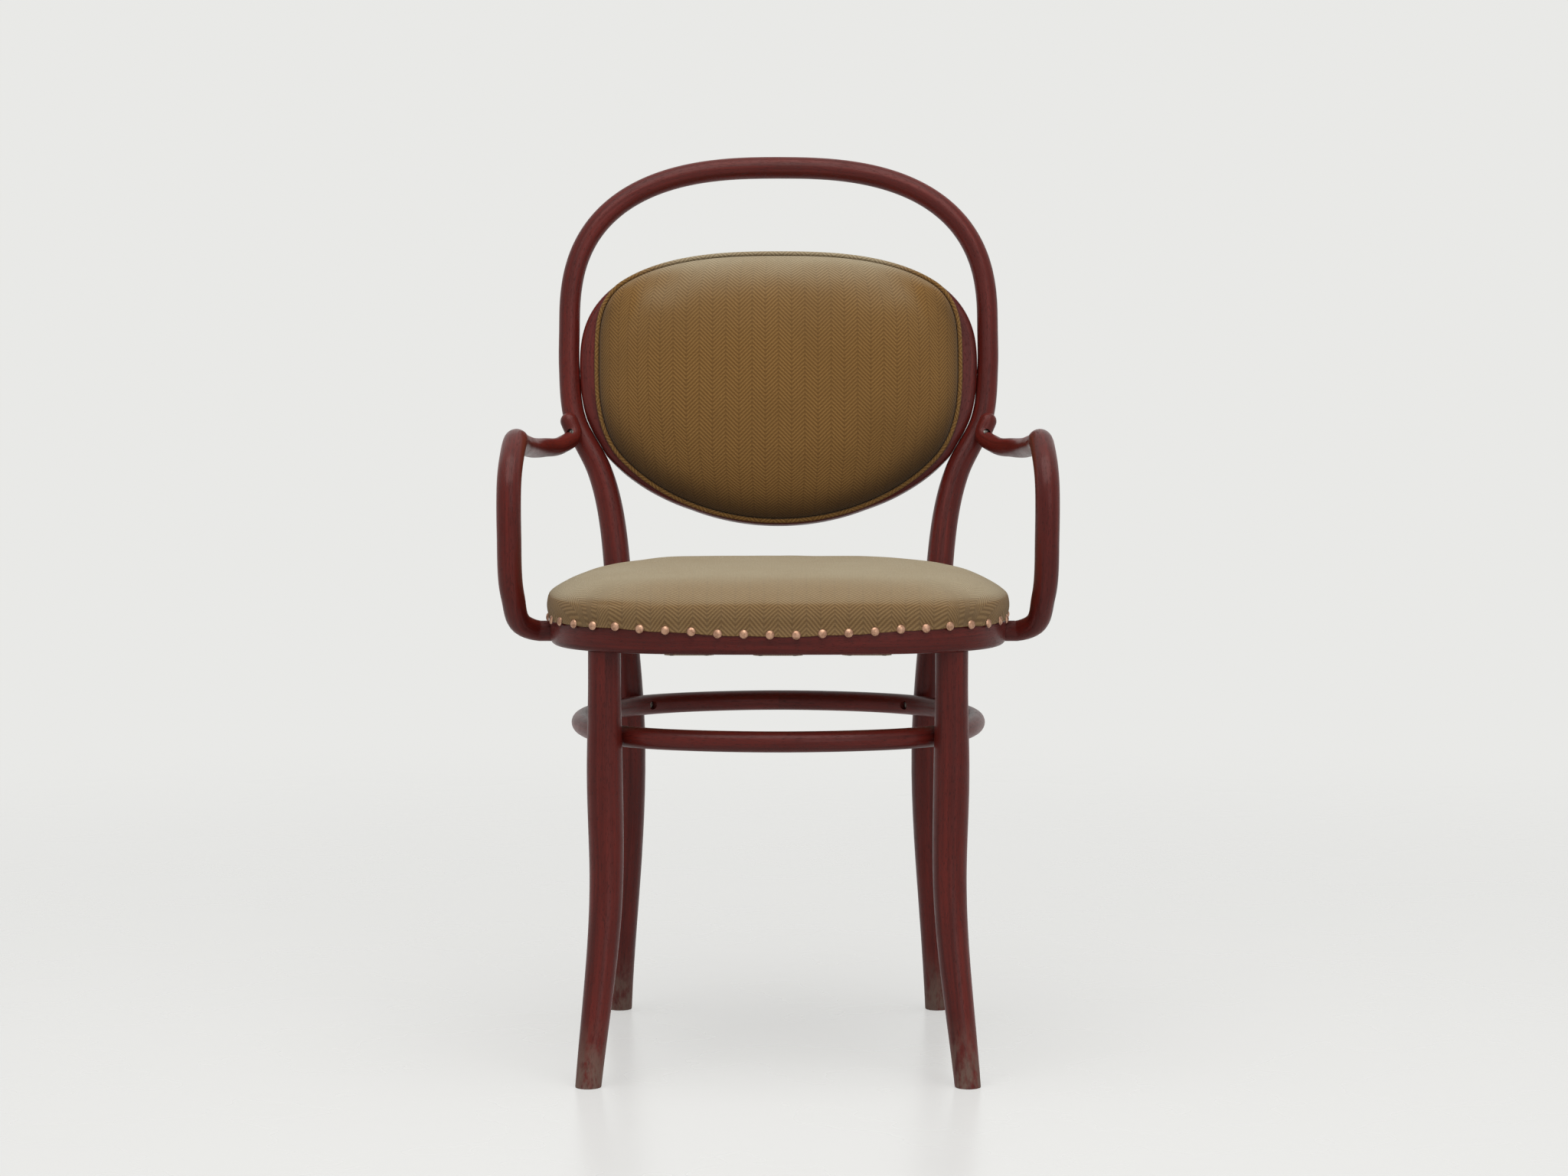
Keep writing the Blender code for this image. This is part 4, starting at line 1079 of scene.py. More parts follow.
def make_arms():
    """The arms, each let in where it laps the bow."""
    for side, sign in SIDES:
        end = arm_left[-1] + (arm_left[-1] - arm_left[-2]).normalized() * ARM_ROOT
        shaft = stepped(arm_left[:-BEND_STEPS]) + [arm_left[-1], end]
        path = mirrored(nose_of(shaft) + shaft, sign)
        arm = draw_rod(f"arm_{side}_bent", bent_rod, hand_shaped(path, 20.0 + sign), round_section, beech)
        flip = Vector((sign, 1.0, 1.0))
        along = arm_inward * flip
        hole = sunk_hole(arm_tip * flip - along * ARM_TIP_RADIUS, along)
        carve(arm, [bow_clearance(sign, arm_tip.z, ARM_LAP_REACH), hole])
        hand_over(arm, beech, "stained_beech", f"arm_{side}")


def leg_ring_screws():
    """Where each leg ring screw's axis leaves the inside of the ring, and its direction."""
    _, contacts = leg_ring_path(front_leg_path(), bow_half())
    places = []
    for _, sign in SIDES:
        for touch, out in contacts:
            along = Vector((out.x * sign, out.y, 0.0))
            axis = Vector((touch.x * sign, touch.y, LEG_RING_HEIGHT)) + SHIFT
            places.append((axis - along * LEG_RING_RADIUS, along))
    return places


def make_leg_ring():
    """The oval hoop between the four legs."""
    loop, _ = leg_ring_path(front_leg_path(), bow_half())
    path = in_place(loop)
    ring = draw_rod("leg_ring_bent", bent_strip, path, round_section, beech, loop=True)
    carve(ring, [sunk_hole(start, along) for start, along in leg_ring_screws()])
    hand_over(ring, beech, "stained_beech", "leg_ring")


def strip_section(name, points):
    """A section given as (outward, upward) pairs, as a strip drawn round a level loop takes it."""
    return section_object(name, [(out, -up) for out, up in points])


def flat_path(loop, radius=1.0):
    return [Vector((point.x, point.y, 0.0, radius)) for point in loop]


def outer_edge(half, edge):
    """The rounded outside of a strip's section, from its underside to its top."""
    return arc((-edge, edge - half), edge, -90, 0, 6) + arc((-edge, half - edge), edge, 0, 90, 6)


def make_seat_ring():
    """The seat's bent ring, notched for the posts and bored for the nuts."""
    half = RING_HEIGHT / 2
    edge = RING_INNER_EDGE
    corners = outer_edge(half, RING_EDGE)
    corners += arc((edge - RING_WALL, half - edge), edge, 90, 180, 2)
    corners += arc((edge - RING_WALL, edge - half), edge, 180, 270, 2)
    section = strip_section("seat_ring_section", corners)
    path = flat_path(outline_loop(seat_point, SEAT_RING_POINTS, pi / 2))
    ring = draw_rod("seat_ring_bent", bent_strip, path, section, beech, loop=True)
    ring.data.transform(Matrix.Translation(SHIFT + Vector((0.0, 0.0, RING_MIDDLE))))
    cutters = []
    for _, sign in SIDES:
        cutters.append(bow_clearance(sign, RING_MIDDLE, NOTCH_REACH))
        post, normal = rear_post(sign)
        inner_face = post + SHIFT + normal * (POST_LET_IN - POST_RADIUS - RING_WALL)
        pocket = [(depth, NUT_POCKET_RADIUS) for depth in (-NUT_POCKET_DEPTH, NUT_POCKET_DEPTH)]
        cutters.append(bore(inner_face, normal, pocket))
    carve(ring, cutters)
    hand_over(ring, beech, "stained_beech", "seat_ring")


def lap_fill(below):
    """How much fuller the hoop is on its outside, by the angle in degrees below its widest place."""
    for (first, low), (second, high) in zip(HOOP_FILLS, HOOP_FILLS[1:]):
        if first <= below < second:
            return low + (high - low) * (below - first) / (second - first)
    return 0.0


def fill_out(place):
    """Moves a point near the lower hoop's outer edge out towards the bow."""
    flat = Vector((place.x / HOOP_HALF_WIDTH, place.y / HOOP_LOWER_RISE))
    angle = atan2(flat.y, abs(flat.x))
    inside = (1 - flat.length) * place.to_2d().length
    way = outward(hoop_point, angle) * lap_fill(degrees(-angle)) * smooth(1 - inside / HOOP_FILL_REACH)
    return place + Vector((copysign(way.x, place.x), way.y, 0.0))


def make_hoop():
    """The hoop inside the bow, with a rebate for the panel."""
    half = HOOP_DEPTH / 2
    step = REBATE_WIDTH - HOOP_WIDTH
    rebate = half - REBATE_DEPTH
    corners = outer_edge(half, HOOP_EDGE)
    corners += [(step, half), (step, rebate), (-HOOP_WIDTH, rebate), (-HOOP_WIDTH, -half)]
    section = strip_section("hoop_section", corners)
    path = flat_path(outline_loop(hoop_point, HOOP_POINTS, -pi / 2))
    hoop = draw_rod("inner_hoop_bent", bent_strip, path, section, beech, loop=True)
    for vertex in hoop.data.vertices:
        vertex.co = fill_out(vertex.co)
    hoop.data.transform(BACK_FRAME)
    hand_over(hoop, beech, "stained_beech", "inner_hoop")


# Stuffed pieces
SEAT_CELLS = 64
PAD_CELLS = 56
COVER_CELLS = 44
EDGE_SHARE = 0.985
SEAT_SHOULDER = 0.0276
SEAT_DOME = 0.0054
SEAT_CROWN_POWER = 4.4
PAD_CROWN = 0.0335
PAD_CROWN_POWER = 2.7
HEM_OUT = 0.0021
HEM_DROP = 0.0035
HEM_FRONT_DROP = 0.0065
NAIL_PITCH = 0.026
NAIL_RADIUS = 0.0046
NAIL_ABOVE_HEM = 0.0024
NAIL_LIFT = 0.0001
NAIL_TILT = 0.06
NAIL_POST_ROOM = 0.009
NAIL_ARM_ROOM = 0.004
SEAT_BULGE = 0.0040
SEAT_BASE = 0.0115
SEAT_PLUG = -RING_WALL - 0.002
SEAT_UNDERSIDE = 0.0022
UNDER_SHARE = 0.995
SEAT_SWELL = 0.0035
PAD_SWELL = 0.0030
REAR_COVER_SWELL = 0.0015
POST_CLEARANCE = 0.0012
POST_BREADTH = 1.22
OUTLINE_POINTS = 480
PIPING_POINTS = 320
SIM_FRAMES = 20
EASE_ROUNDS = 24
COVER_CLOTH = {
    "quality": 6,
    "mass": 0.3,
    "tension_stiffness": 18.0,
    "compression_stiffness": 18.0,
    "bending_stiffness": 0.6,
    "use_pressure": True,
    "uniform_pressure_force": 4.0,
    "vertex_group_mass": "held",
}

# Scale and height of the coarse and the fine lumps in the stuffing
SEAT_LUMPS = ((14.0, 0.0011), (38.0, 0.0004))
PAD_LUMPS = ((12.0, 0.0010), (33.0, 0.0004))

# Bands of the seat's cover: out, above, pull and gather at each nail, and whether the hem sets the height
SEAT_BANDS = (
    (0.0036, 0.0070, 0.0, 0.0002, False),
    (0.0029, 0.0030, 0.0, 0.0006, False),
    (HEM_OUT, -0.0010, 0.0, 0.0006, False),
    (HEM_OUT, 0.0014, 0.0004, 0.0003, True),
    (HEM_OUT, 0.0004, 0.0006, 0.0002, True),
    (0.0014, 0.0, 0.0006, 0.0, True),
    (0.0007, 0.0005, 0.0006, 0.0, True),
    (0.0007, FIT, 0.0, 0.0, False),
    (SEAT_PLUG, FIT, 0.0, 0.0, False),
)


class Outline:
    """A loop of evenly spaced points, read by the share of the way round."""

    def __init__(self, outline, distance, count=OUTLINE_POINTS):
        self.points = offset(outline_loop(outline, count), distance)
        self.length = reaches(self.points + self.points[:1])[-1]

    def at(self, turn):
        place = turn % 1.0 * len(self.points)
        index = int(place)
        after = self.points[(index + 1) % len(self.points)]
        return self.points[index % len(self.points)].lerp(after, place - index)

    def normal(self, turn):
        along = self.at(turn + 0.003) - self.at(turn - 0.003)
        return Vector((along.y, -along.x)).normalized()


def disc_share(s, t):
    """Where a place on a square grid falls on a disc: the share of the radius and of the way round."""
    x, y = s * (1 - t * t / 2) ** 0.5, t * (1 - s * s / 2) ** 0.5
    place = Vector((x, y))
    return min(1.0, place.length), (place.angle_signed(Vector((1.0, 0.0)), 0.0) / tau) % 1.0


def crown_share(share):
    """A share that crowds the steps towards the edge, where the stuffing turns down."""
    return sin(share * pi / 2 * EDGE_SHARE) / sin(pi / 2 * EDGE_SHARE)


def crown_height(share, roundness):
    return max(0.0, 1 - share**roundness) ** (1 / roundness)


def disc_grid(shape, cells, surface):
    """A square grid laid on a disc; the surface has a point for a share of the radius and of the turn."""
    grid = {}
    for row in range(cells + 1):
        for column in range(cells + 1):
            share, turn = disc_share(2 * column / cells - 1, 2 * row / cells - 1)
            grid[row, column] = shape.verts.new(surface(share, turn))
    for row in range(cells):
        for column in range(cells):
            corners = ((row, column), (row, column + 1), (row + 1, column + 1), (row + 1, column))
            shape.faces.new([grid[corner] for corner in corners])
    return grid


def stuffed_skin(name, cells, crown, bands, underside):
    """A closed skin: a crowned grid, bands down from its edge and a flat grid below.

    Only the points inside the crown are free to swell.
    """
    shape = bmesh.new()
    grids = [disc_grid(shape, cells, surface) for surface in (crown, underside)]
    border = [(0, column) for column in range(cells)] + [(row, cells) for row in range(cells)]
    border += [(cells, column) for column in range(cells, 0, -1)] + [(row, 0) for row in range(cells, 0, -1)]
    edge_turns = [disc_share(2 * column / cells - 1, 2 * row / cells - 1)[1] for row, column in border]
    chain = [[grids[0][corner] for corner in border]]
    chain += [[shape.verts.new(band(turn)) for turn in edge_turns] for band in bands]
    chain.append([grids[1][corner] for corner in border])
    for upper, lower in zip(chain, chain[1:]):
        bridge(shape, upper, lower)
    bmesh.ops.recalc_face_normals(shape, faces=shape.faces)
    shape.verts.index_update()
    free = {vertex.index for corner, vertex in grids[0].items() if 0 not in corner and cells not in corner}
    piece = shape_object(name, shape)
    held = piece.vertex_groups.new(name="held")
    held.add([vertex.index for vertex in piece.data.vertices if vertex.index not in free], 1.0, "REPLACE")
    return piece


def eased(mesh, ways):
    """Movements evened out between neighbours, so that the cover swells without sharp pinches."""
    beside = [[] for _ in ways]
    for edge in mesh.edges:
        first, second = edge.vertices
        beside[first].append(second)
        beside[second].append(first)
    held = [way.length < 1e-7 for way in ways]
    for _ in range(EASE_ROUNDS):
        means = [sum((ways[near] for near in others), Vector()) / len(others) for others in beside]
        ways = [way if still else (way + mean) / 2 for way, mean, still in zip(ways, means, held)]
    return ways


def inflate(piece, cap):
    """Lets the cover swell over its stuffing as cloth, and moves no point further than the cap."""
    before = [vertex.co.copy() for vertex in piece.data.vertices]
    modifier = piece.modifiers.new("cover", "CLOTH")
    for name, value in COVER_CLOTH.items():
        setattr(modifier.settings, name, value)
    modifier.settings.effector_weights.gravity = 0.0
    modifier.collision_settings.use_collision = False
    modifier.point_cache.frame_start = 1
    modifier.point_cache.frame_end = SIM_FRAMES
    scene = bpy.context.scene
    for step in range(1, SIM_FRAMES + 1):
        scene.frame_set(step)
    swollen = plain_mesh(piece)
    piece.modifiers.clear()
    scene.frame_set(1)
    ways = [moved.co - start for start, moved in zip(before, swollen.vertices)]
    ways = [way * min(1.0, cap / max(way.length, 1e-9)) for way in ways]
    for vertex, way in zip(piece.data.vertices, eased(piece.data, ways)):
        vertex.co += way


def lump(place, sizes, shift=Vector()):
    """How much the stuffing stands out at a place; the shift moves the coarse lumps."""
    (coarse, coarse_height), (fine, fine_height) = sizes
    return noise.noise(place * coarse + shift) * coarse_height + noise.noise(place * fine) * fine_height


def subdivide(piece):
    """Rounds a piece off by one finer step."""
    modifier = piece.modifiers.new("fine", "SUBSURF")
    modifier.levels = 1
    modifier.render_levels = 1
    bpy.context.view_layer.update()
    settle(piece)


def lay_cloth(piece, unfold, fade_light_shade):
    """Stores where each point lies on the flat cloth, and how much paler it is painted there by fading and a
    painted highlight, or, below 0, how much darker by painted shade.
    """
    mesh = piece.data
    layer = mesh.attributes.new("cloth", "FLOAT_VECTOR", "POINT")
    for vertex, normal in zip(mesh.vertices, mesh.vertex_normals):
        across, along = unfold(vertex.co)
        layer.data[vertex.index].vector = (across, along, fade_light_shade(vertex.co, normal.vector))


def fade_and_top_light(_, normal):
    """Paler on what faces up: partly fading, partly a painted highlight of the overhead light."""
    return smooth((normal.z - 0.30) / 0.62)


def seat_fade_and_light(place, normal):
    """Paler on top by fading and a painted highlight, less towards the front, and a little paler down the
    side, also partly painted light.
    """
    front = smooth((SHIFT.y - place.y - 0.120) / 0.080)
    top = fade_and_top_light(place, normal) * (1 - SEAT_FRONT_PALE_CUT * front)
    return max(top, SEAT_SIDE_FADE_AND_LIGHT * smooth((normal.z + 0.9) / 0.9))


seat_outside = Outline(seat_point, HEM_OUT)


def hem_height(turn):
    """The lower edge of the seat's cover, which hangs lowest in the middle of the front."""
    place = seat_outside.at(turn)
    forward = smooth((-place.y / (SEAT_DEPTH / 2) - 0.55) / 0.40)
    front = forward * (1 - smooth(abs(place.x) / (0.42 * SEAT_WIDTH)))
    return SEAT_TOP - HEM_DROP - HEM_FRONT_DROP * front + 0.0004 * sin(tau * turn * 21)


def nail_pull(turn):
    """1 at a nail and 0 half way between two, for the small pulls in the cover."""
    count = round(seat_outside.length / NAIL_PITCH)
    return 0.5 + 0.5 * cos(tau * turn * count)


def seat_frame(flat, height):
    return Vector((flat.x, flat.y, height)) + SHIFT


def clear_of_post(place):
    """Pushes a point of the seat's cover in, off the rear posts."""
    for _, sign in SIDES:
        axis = at_height(mirrored(bow_left, sign), place.z)
        _, normal = rear_post(sign)
        way = Vector((place.x - axis.x, place.y - axis.y, 0.0))
        across = Vector((-normal.y, normal.x, 0.0))
        aside = way.dot(across)
        inward = -way.dot(normal)
        deep = axis.w + POST_CLEARANCE
        reach = deep * POST_BREADTH
        if abs(aside) < reach and inward < reach:
            wanted = deep * (1 - (aside / reach) ** 2) ** 0.5
            place = place - normal * max(0.0, wanted - inward)
    return place


def make_seat():
    """The stuffed seat: its cover comes down over the ring's edge, and its stuffing fills the ring."""
    widest = Outline(seat_point, SEAT_BULGE)
    plug = Outline(seat_point, SEAT_PLUG)

    def crown(share, turn):
        near = crown_share(share)
        rise = SEAT_SHOULDER * crown_height(near, SEAT_CROWN_POWER) + SEAT_DOME * (1 - near**2)
        return seat_frame(widest.at(turn) * near, SEAT_TOP + SEAT_BASE + rise)

    def band(out, above, pull, gather, at_hem):
        outline = Outline(seat_point, out)

        def place(turn):
            flat = outline.at(turn) - outline.normal(turn) * gather * nail_pull(turn)
            level = hem_height(turn) if at_hem else SEAT_TOP
            return seat_frame(flat, level + above + pull * nail_pull(turn))

        return place

    def underside(share, turn):
        return seat_frame(plug.at(turn) * share, RING_BOTTOM + SEAT_UNDERSIDE)

    bands = [band(*row) for row in SEAT_BANDS]
    seat = stuffed_skin("seat_cushion_stuffed", SEAT_CELLS, crown, bands, underside)
    inflate(seat, SEAT_SWELL)
    for vertex in seat.data.vertices:
        if vertex.co.z > SEAT_TOP + 0.004:
            vertex.co.z += lump(vertex.co, SEAT_LUMPS) * smooth((vertex.co.z - SEAT_TOP) / 0.03)
        vertex.co = clear_of_post(vertex.co)
    subdivide(seat)
    top = max(vertex.co.z for vertex in seat.data.vertices)

    def unfold(place):
        flat = Vector((place.x, place.y - SHIFT.y))
        sideways = smooth((abs(flat.x) / SEAT_WIDTH - abs(flat.y) / SEAT_DEPTH) / 0.10 + 0.5)
        fall = top - place.z
        across = flat.x + copysign(sideways * fall, flat.x)
        return across, flat.y + copysign((1 - sideways) * fall, flat.y)

    lay_cloth(seat, unfold, seat_fade_and_light)
    hand_over(seat, wool, "wool_twill", "seat_cushion")


def make_sacking():
    """The loose sheet between the webbing and the stuffing."""
    edge = Outline(seat_point, -RING_WALL - SACKING_THICKNESS)

    def surface(share, turn):
        place = seat_frame(edge.at(turn) * share, RING_BOTTOM + SACKING_THICKNESS)
        place.z += 0.0004 * noise.noise(place * 60.0) * (1 - share)
        return place

    shape = bmesh.new()
    disc_grid(shape, SEAT_CELLS, surface)
    bmesh.ops.reverse_faces(shape, faces=shape.faces)
    sheet = shape_object("seat_sacking", shape)
    thick = sheet.modifiers.new("thick", "SOLIDIFY")
    thick.thickness = SACKING_THICKNESS
    thick.offset = -1.0
    bpy.context.view_layer.update()
    settle(sheet)
    hand_over(sheet, sacking, "jute")


def back_frame(flat, forward):
    return BACK_FRAME @ Vector((flat.x, flat.y, forward))


def unfold_back(place):
    """Where a place on the back lies on the flat cloth, which is let down over the edge."""
    flat = BACK_FRAME.inverted() @ place
    out = Vector((flat.x, flat.y * 1.3))
    out = out.normalized() if out.length > 1e-6 else out
    fall = max(0.0, PAD_CROWN + HOOP_DEPTH / 2 - abs(flat.z)) * smooth(Vector((flat.x, flat.y)).length / 0.10)
    return flat.x + out.x * fall, flat.y + out.y * fall


def open_above(flat):
    """1 on the top of the back near its middle, where light reaches it and no painted shade is put on the
    edge, and 0 towards its sides and below.
    """
    upper = smooth((flat.y / HOOP_UPPER_RISE - 0.62) / 0.30)
    return upper * smooth((0.80 - abs(flat.x) / HOOP_HALF_WIDTH) / 0.35)


def back_fade_light_and_shade(place, normal):
    """Paler on top of the back by fading and a painted highlight, a little paler higher up and darker lower
    down as painted light and shade, and darkened with painted shade along its edge except above the middle.
    """
    flat = BACK_FRAME.inverted() @ place
    rise, roundness = hoop_half(flat.y > 0)
    near = (abs(flat.x / HOOP_HALF_WIDTH) ** roundness + abs(flat.y / rise) ** roundness) ** (1 / roundness)
    # Painted light on the upper back and painted shade on the lower back
    by_height = UPPER_BACK_LIGHT * smooth(flat.y / 0.10) - LOWER_BACK_SHADE * smooth((-0.03 - flat.y) / 0.10)
    # Painted shade along the pad's edge, left off above the middle
    edge_shade = BACK_EDGE_SHADE * smooth((near - 0.76) / 0.22) * (1 - open_above(flat))
    return BACK_FADE_AND_LIGHT * fade_and_top_light(place, normal) + by_height - edge_shade


def pad_edge(out=0.0, count=OUTLINE_POINTS):
    """The pad's edge: close to the hoop's own above and below, further in where the bow laps the hoop."""
    edge = Outline(hoop_point, -PAD_MARGIN, count)
    widest = max(point.x for point in edge.points)
    moved = []
    for point, inner in zip(edge.points, offset(edge.points, -1.0)):
        share = max(0.0, abs(point.x) / widest - PAD_SIDE_SHARE) / (1 - PAD_SIDE_SHARE)
        moved.append(point + (inner - point) * PAD_SIDE_MARGIN * share**2)
    edge.points = offset(moved, out)
    return edge


def stuffed_panel(name, cells, edge, base, foot, swell):
    """A stuffed skin on the plane of the back, from its rise at the foot and a rule for its rise inside."""

    def crown(share, turn):
        near = crown_share(share)
        return back_frame(edge.at(turn) * near, base + swell(near))

    def hem(turn):
        return back_frame(edge.at(turn), base + foot)

    def underside(share, turn):
        return back_frame(edge.at(turn) * share * UNDER_SHARE, base)

    return stuffed_skin(name, cells, crown, [hem], underside)


def make_back_pad():
    """The stuffed front of the back."""
    edge = pad_edge()
    base = HOOP_DEPTH / 2 + FIT

    def swell(near):
        return PIPING_RADIUS + PAD_CROWN * crown_height(near, PAD_CROWN_POWER)

    pad = stuffed_panel("back_pad_stuffed", PAD_CELLS, edge, base, 0.0008, swell)
    inflate(pad, PAD_SWELL)
    for vertex in pad.data.vertices:
        forward = (BACK_FRAME.inverted() @ vertex.co).z
        uneven = lump(vertex.co, PAD_LUMPS, BACK_NORMAL)
        vertex.co += BACK_NORMAL * uneven * smooth((forward - base - 0.006) / 0.02)
    subdivide(pad)
    lay_cloth(pad, unfold_back, back_fade_light_and_shade)
    hand_over(pad, wool, "wool_twill", "back_pad")


def make_piping():
    """A cord in a sleeve of the same cloth round the back pad."""
    loop = pad_edge(PIPING_RADIUS + FIT, PIPING_POINTS).points
    path = flat_path(loop, PIPING_RADIUS)
    cord = draw_rod("back_piping_sewn", bent_strip, path, cord_section, wool, loop=True, attribute="cloth")
    cord.data.transform(Matrix.Translation((0.0, 0.0, HOOP_DEPTH / 2 + FIT + PIPING_RADIUS)))
    cord.data.transform(BACK_FRAME)
    # Painted light: the cord is painted paler along the top of the back, over its own shade
    for corner, spot in zip(cord.data.loops, cord.data.attributes["cloth"].data):
        vertex = cord.data.vertices[corner.vertex_index]
        above = open_above(BACK_FRAME.inverted() @ vertex.co)
        spot.vector = (*spot.vector[:2], max(back_fade_light_and_shade(vertex.co, vertex.normal), PIPING_TOP_LIGHT * above))
    hand_over(cord, wool, "wool_twill", "back_piping")


def make_rear_cover():
    """The cloth panel over the back of the hoop, turned under at its edge and tacked."""
    edge = Outline(hoop_point, -REAR_COVER_MARGIN)
    base = -HOOP_DEPTH / 2 - FIT

    def swell(near):
        return -0.0016 - REAR_COVER_RISE * crown_height(near, 2.0) * 0.9

    cover = stuffed_panel("back_rear_cover_sewn", COVER_CELLS, edge, base, -0.0006, swell)
    inflate(cover, REAR_COVER_SWELL)
    subdivide(cover)
    lay_cloth(cover, unfold_back, fade_and_top_light)
    hand_over(cover, wool, "wool_twill", "back_rear_cover")


def ring_reach(fixed, axis):
    """Where the ring's outline crosses a line x = fixed (axis 1) or y = fixed (axis 0), low and high."""
    loop = outline_loop(seat_point, STRAP_RING_POINTS)
    crossings = []
    for start, end in zip(loop, loop[1:] + loop[:1]):
        a, b = start[1 - axis] - fixed, end[1 - axis] - fixed
        if a * b <= 0 and a != b:
            crossings.append(start[axis] + (end[axis] - start[axis]) * a / (a - b))
    return min(crossings), max(crossings)


def strap_level(levels, along):
    """The drop of a strap at a place, eased from one level to the next."""
    for (start, low), (end, high) in zip(levels, levels[1:]):
        if start <= along <= end:
            return low + (high - low) * smooth((along - start) / max(end - start, 1e-9))
    return 0.0


def strap_places():
    """Each strap's axis, place, ends and levels, over and under the straps that cross it."""
    places = [(index - (STRAPS_EACH_WAY - 1) / 2) * STRAP_PITCH for index in range(STRAPS_EACH_WAY)]
    drop = STRAP_THICKNESS + FIT
    flat = STRAP_WIDTH / 2 + 4 * STRAP_THICKNESS
    for axis, name in ((1, "webbing_lengthways"), (0, "webbing_crossways")):
        for index, place in enumerate(places):
            low, high = ring_reach(place, axis)
            low += RING_WALL * STRAP_END_SHARE
            high -= RING_WALL * STRAP_END_SHARE
            levels = [(low, 0.0), (low + RING_WALL / 2, 0.0)]
            first_over = (index % 2 == 0) == (axis == 1)
            for number, crossing in enumerate(places):
                level = 0.0 if (number % 2 == 0) == first_over else -drop
                levels += [(crossing - flat, level), (crossing + flat, level)]
            levels += [(high - RING_WALL / 2, 0.0), (high, 0.0)]
            yield axis, f"{name}_{index + 1}", place, low, high, levels


def strap_spot(axis, aside, along, height):
    """A place on a strap that runs along Y (axis 1) or along X (axis 0)."""
    flat = (aside, along) if axis == 1 else (along, aside)
    return Vector((*flat, height)) + SHIFT


def make_straps():
    """The woven straps: rings of points that go over the upper side and come back along the underside."""
    top = RING_BOTTOM - FIT
    sides = [(side, False) for side in range(STRAP_CELLS + 1)]
    sides += [(side, True) for side in range(STRAP_CELLS, -1, -1)]
    for axis, name, place, low, high, levels in strap_places():
        count = int((high - low) / STRAP_STEP)
        shape = bmesh.new()
        layer = shape.verts.layers.float_vector.new("weave")
        rings = []
        for step in range(count + 1):
            along = low + (high - low) * step / count
            level = strap_level(levels, along)
            wander = 0.0005 * noise.noise(Vector((along * 30.0, place * 50.0, axis)))
            ring = []
            for side, under in sides:
                across = (side / STRAP_CELLS - 0.5) * (STRAP_WIDTH - 0.001)
                thin = 0.25 if side in (0, STRAP_CELLS) else 0.0
                height = top + level - STRAP_THICKNESS * (1 - thin if under else thin)
                vertex = shape.verts.new(strap_spot(axis, place + across + wander, along, height))
                vertex[layer] = (along, across, 0.0)
                ring.append(vertex)
            rings.append(ring)
        for first, second in zip(rings, rings[1:]):
            bridge(shape, first, second)
        for ring in (rings[0], rings[-1]):
            for side in range(STRAP_CELLS):
                mirror = len(ring) - 1 - side
                shape.faces.new((ring[side], ring[side + 1], ring[mirror - 1], ring[mirror]))
        bmesh.ops.recalc_face_normals(shape, faces=shape.faces)
        hand_over(shape_object(f"{name}_woven", shape), jute, "jute", name)


def make_nails():
    """Domed nails round the hem of the seat, left out at the posts and at the arms."""
    nail = lathe("nail_head", [(height, NAIL_RADIUS * share) for height, share in NAIL_DOME], 14)
    count = round(seat_outside.length / NAIL_PITCH)
    keep_off = []
    for _, sign in SIDES:
        post, _ = rear_post(sign)
        keep_off.append((Vector((post.x, post.y)), POST_RADIUS + NAIL_POST_ROOM))
        joint = seat_point(ARM_ANGLE)
        keep_off.append((Vector((joint.x * sign, joint.y)), ARM_END_RADIUS + NAIL_ARM_ROOM))
    places = []
    for index in range(count):
        turn = index / count
        flat = seat_outside.at(turn)
        if all((flat - centre).length > reach for centre, reach in keep_off):
            out = seat_outside.normal(turn)
            place = seat_frame(flat + out * NAIL_LIFT, hem_height(turn) + NAIL_ABOVE_HEM)
            places.append((place, (out.x, out.y, NAIL_TILT)))
    set_row("seat_nails", places, nail, brass, stray=0.05, seed=3)


def make_tacks():
    """Flat tacks round the rear cover and through the ends of the straps."""
    tack = lathe("tack_head", TACK_HEAD, 10)
    edge = Outline(hoop_point, -REAR_COVER_MARGIN - TACK_INSET)
    count = round(edge.length / TACK_PITCH)
    places = []
    for index in range(count):
        flat = edge.at(index / count)
        places.append((back_frame(flat, -HOOP_DEPTH / 2 - TACK_LEVEL), -BACK_NORMAL))
    level = RING_BOTTOM - FIT - STRAP_THICKNESS
    for axis, _, place, low, high, _ in strap_places():
        for end, inward in ((low, 1.0), (high, -1.0)):
            for aside, back in STRAP_TACKS:
                spot = strap_spot(axis, place + aside, end + inward * back, level)
                places.append((spot, (0.0, 0.0, -1.0)))
    set_row("upholstery_tacks", places, tack, steel, stray=0.08, seed=5)


def slotted_head(name, profile, sides, slot):
    """A turned head with a slot across its top."""
    head = lathe(name, profile, sides)
    top = max(height for height, _ in profile)
    radius = max(width for _, width in profile)
    cutter = bmesh.new()
    bmesh.ops.create_cube(cutter, size=1.0)
    bmesh.ops.scale(cutter, vec=(3 * radius, slot[0], 2 * slot[1]), verts=cutter.verts)
    bmesh.ops.translate(cutter, vec=(0.0, 0.0, top), verts=cutter.verts)
    return carve(head, [shape_object("slot", cutter)])


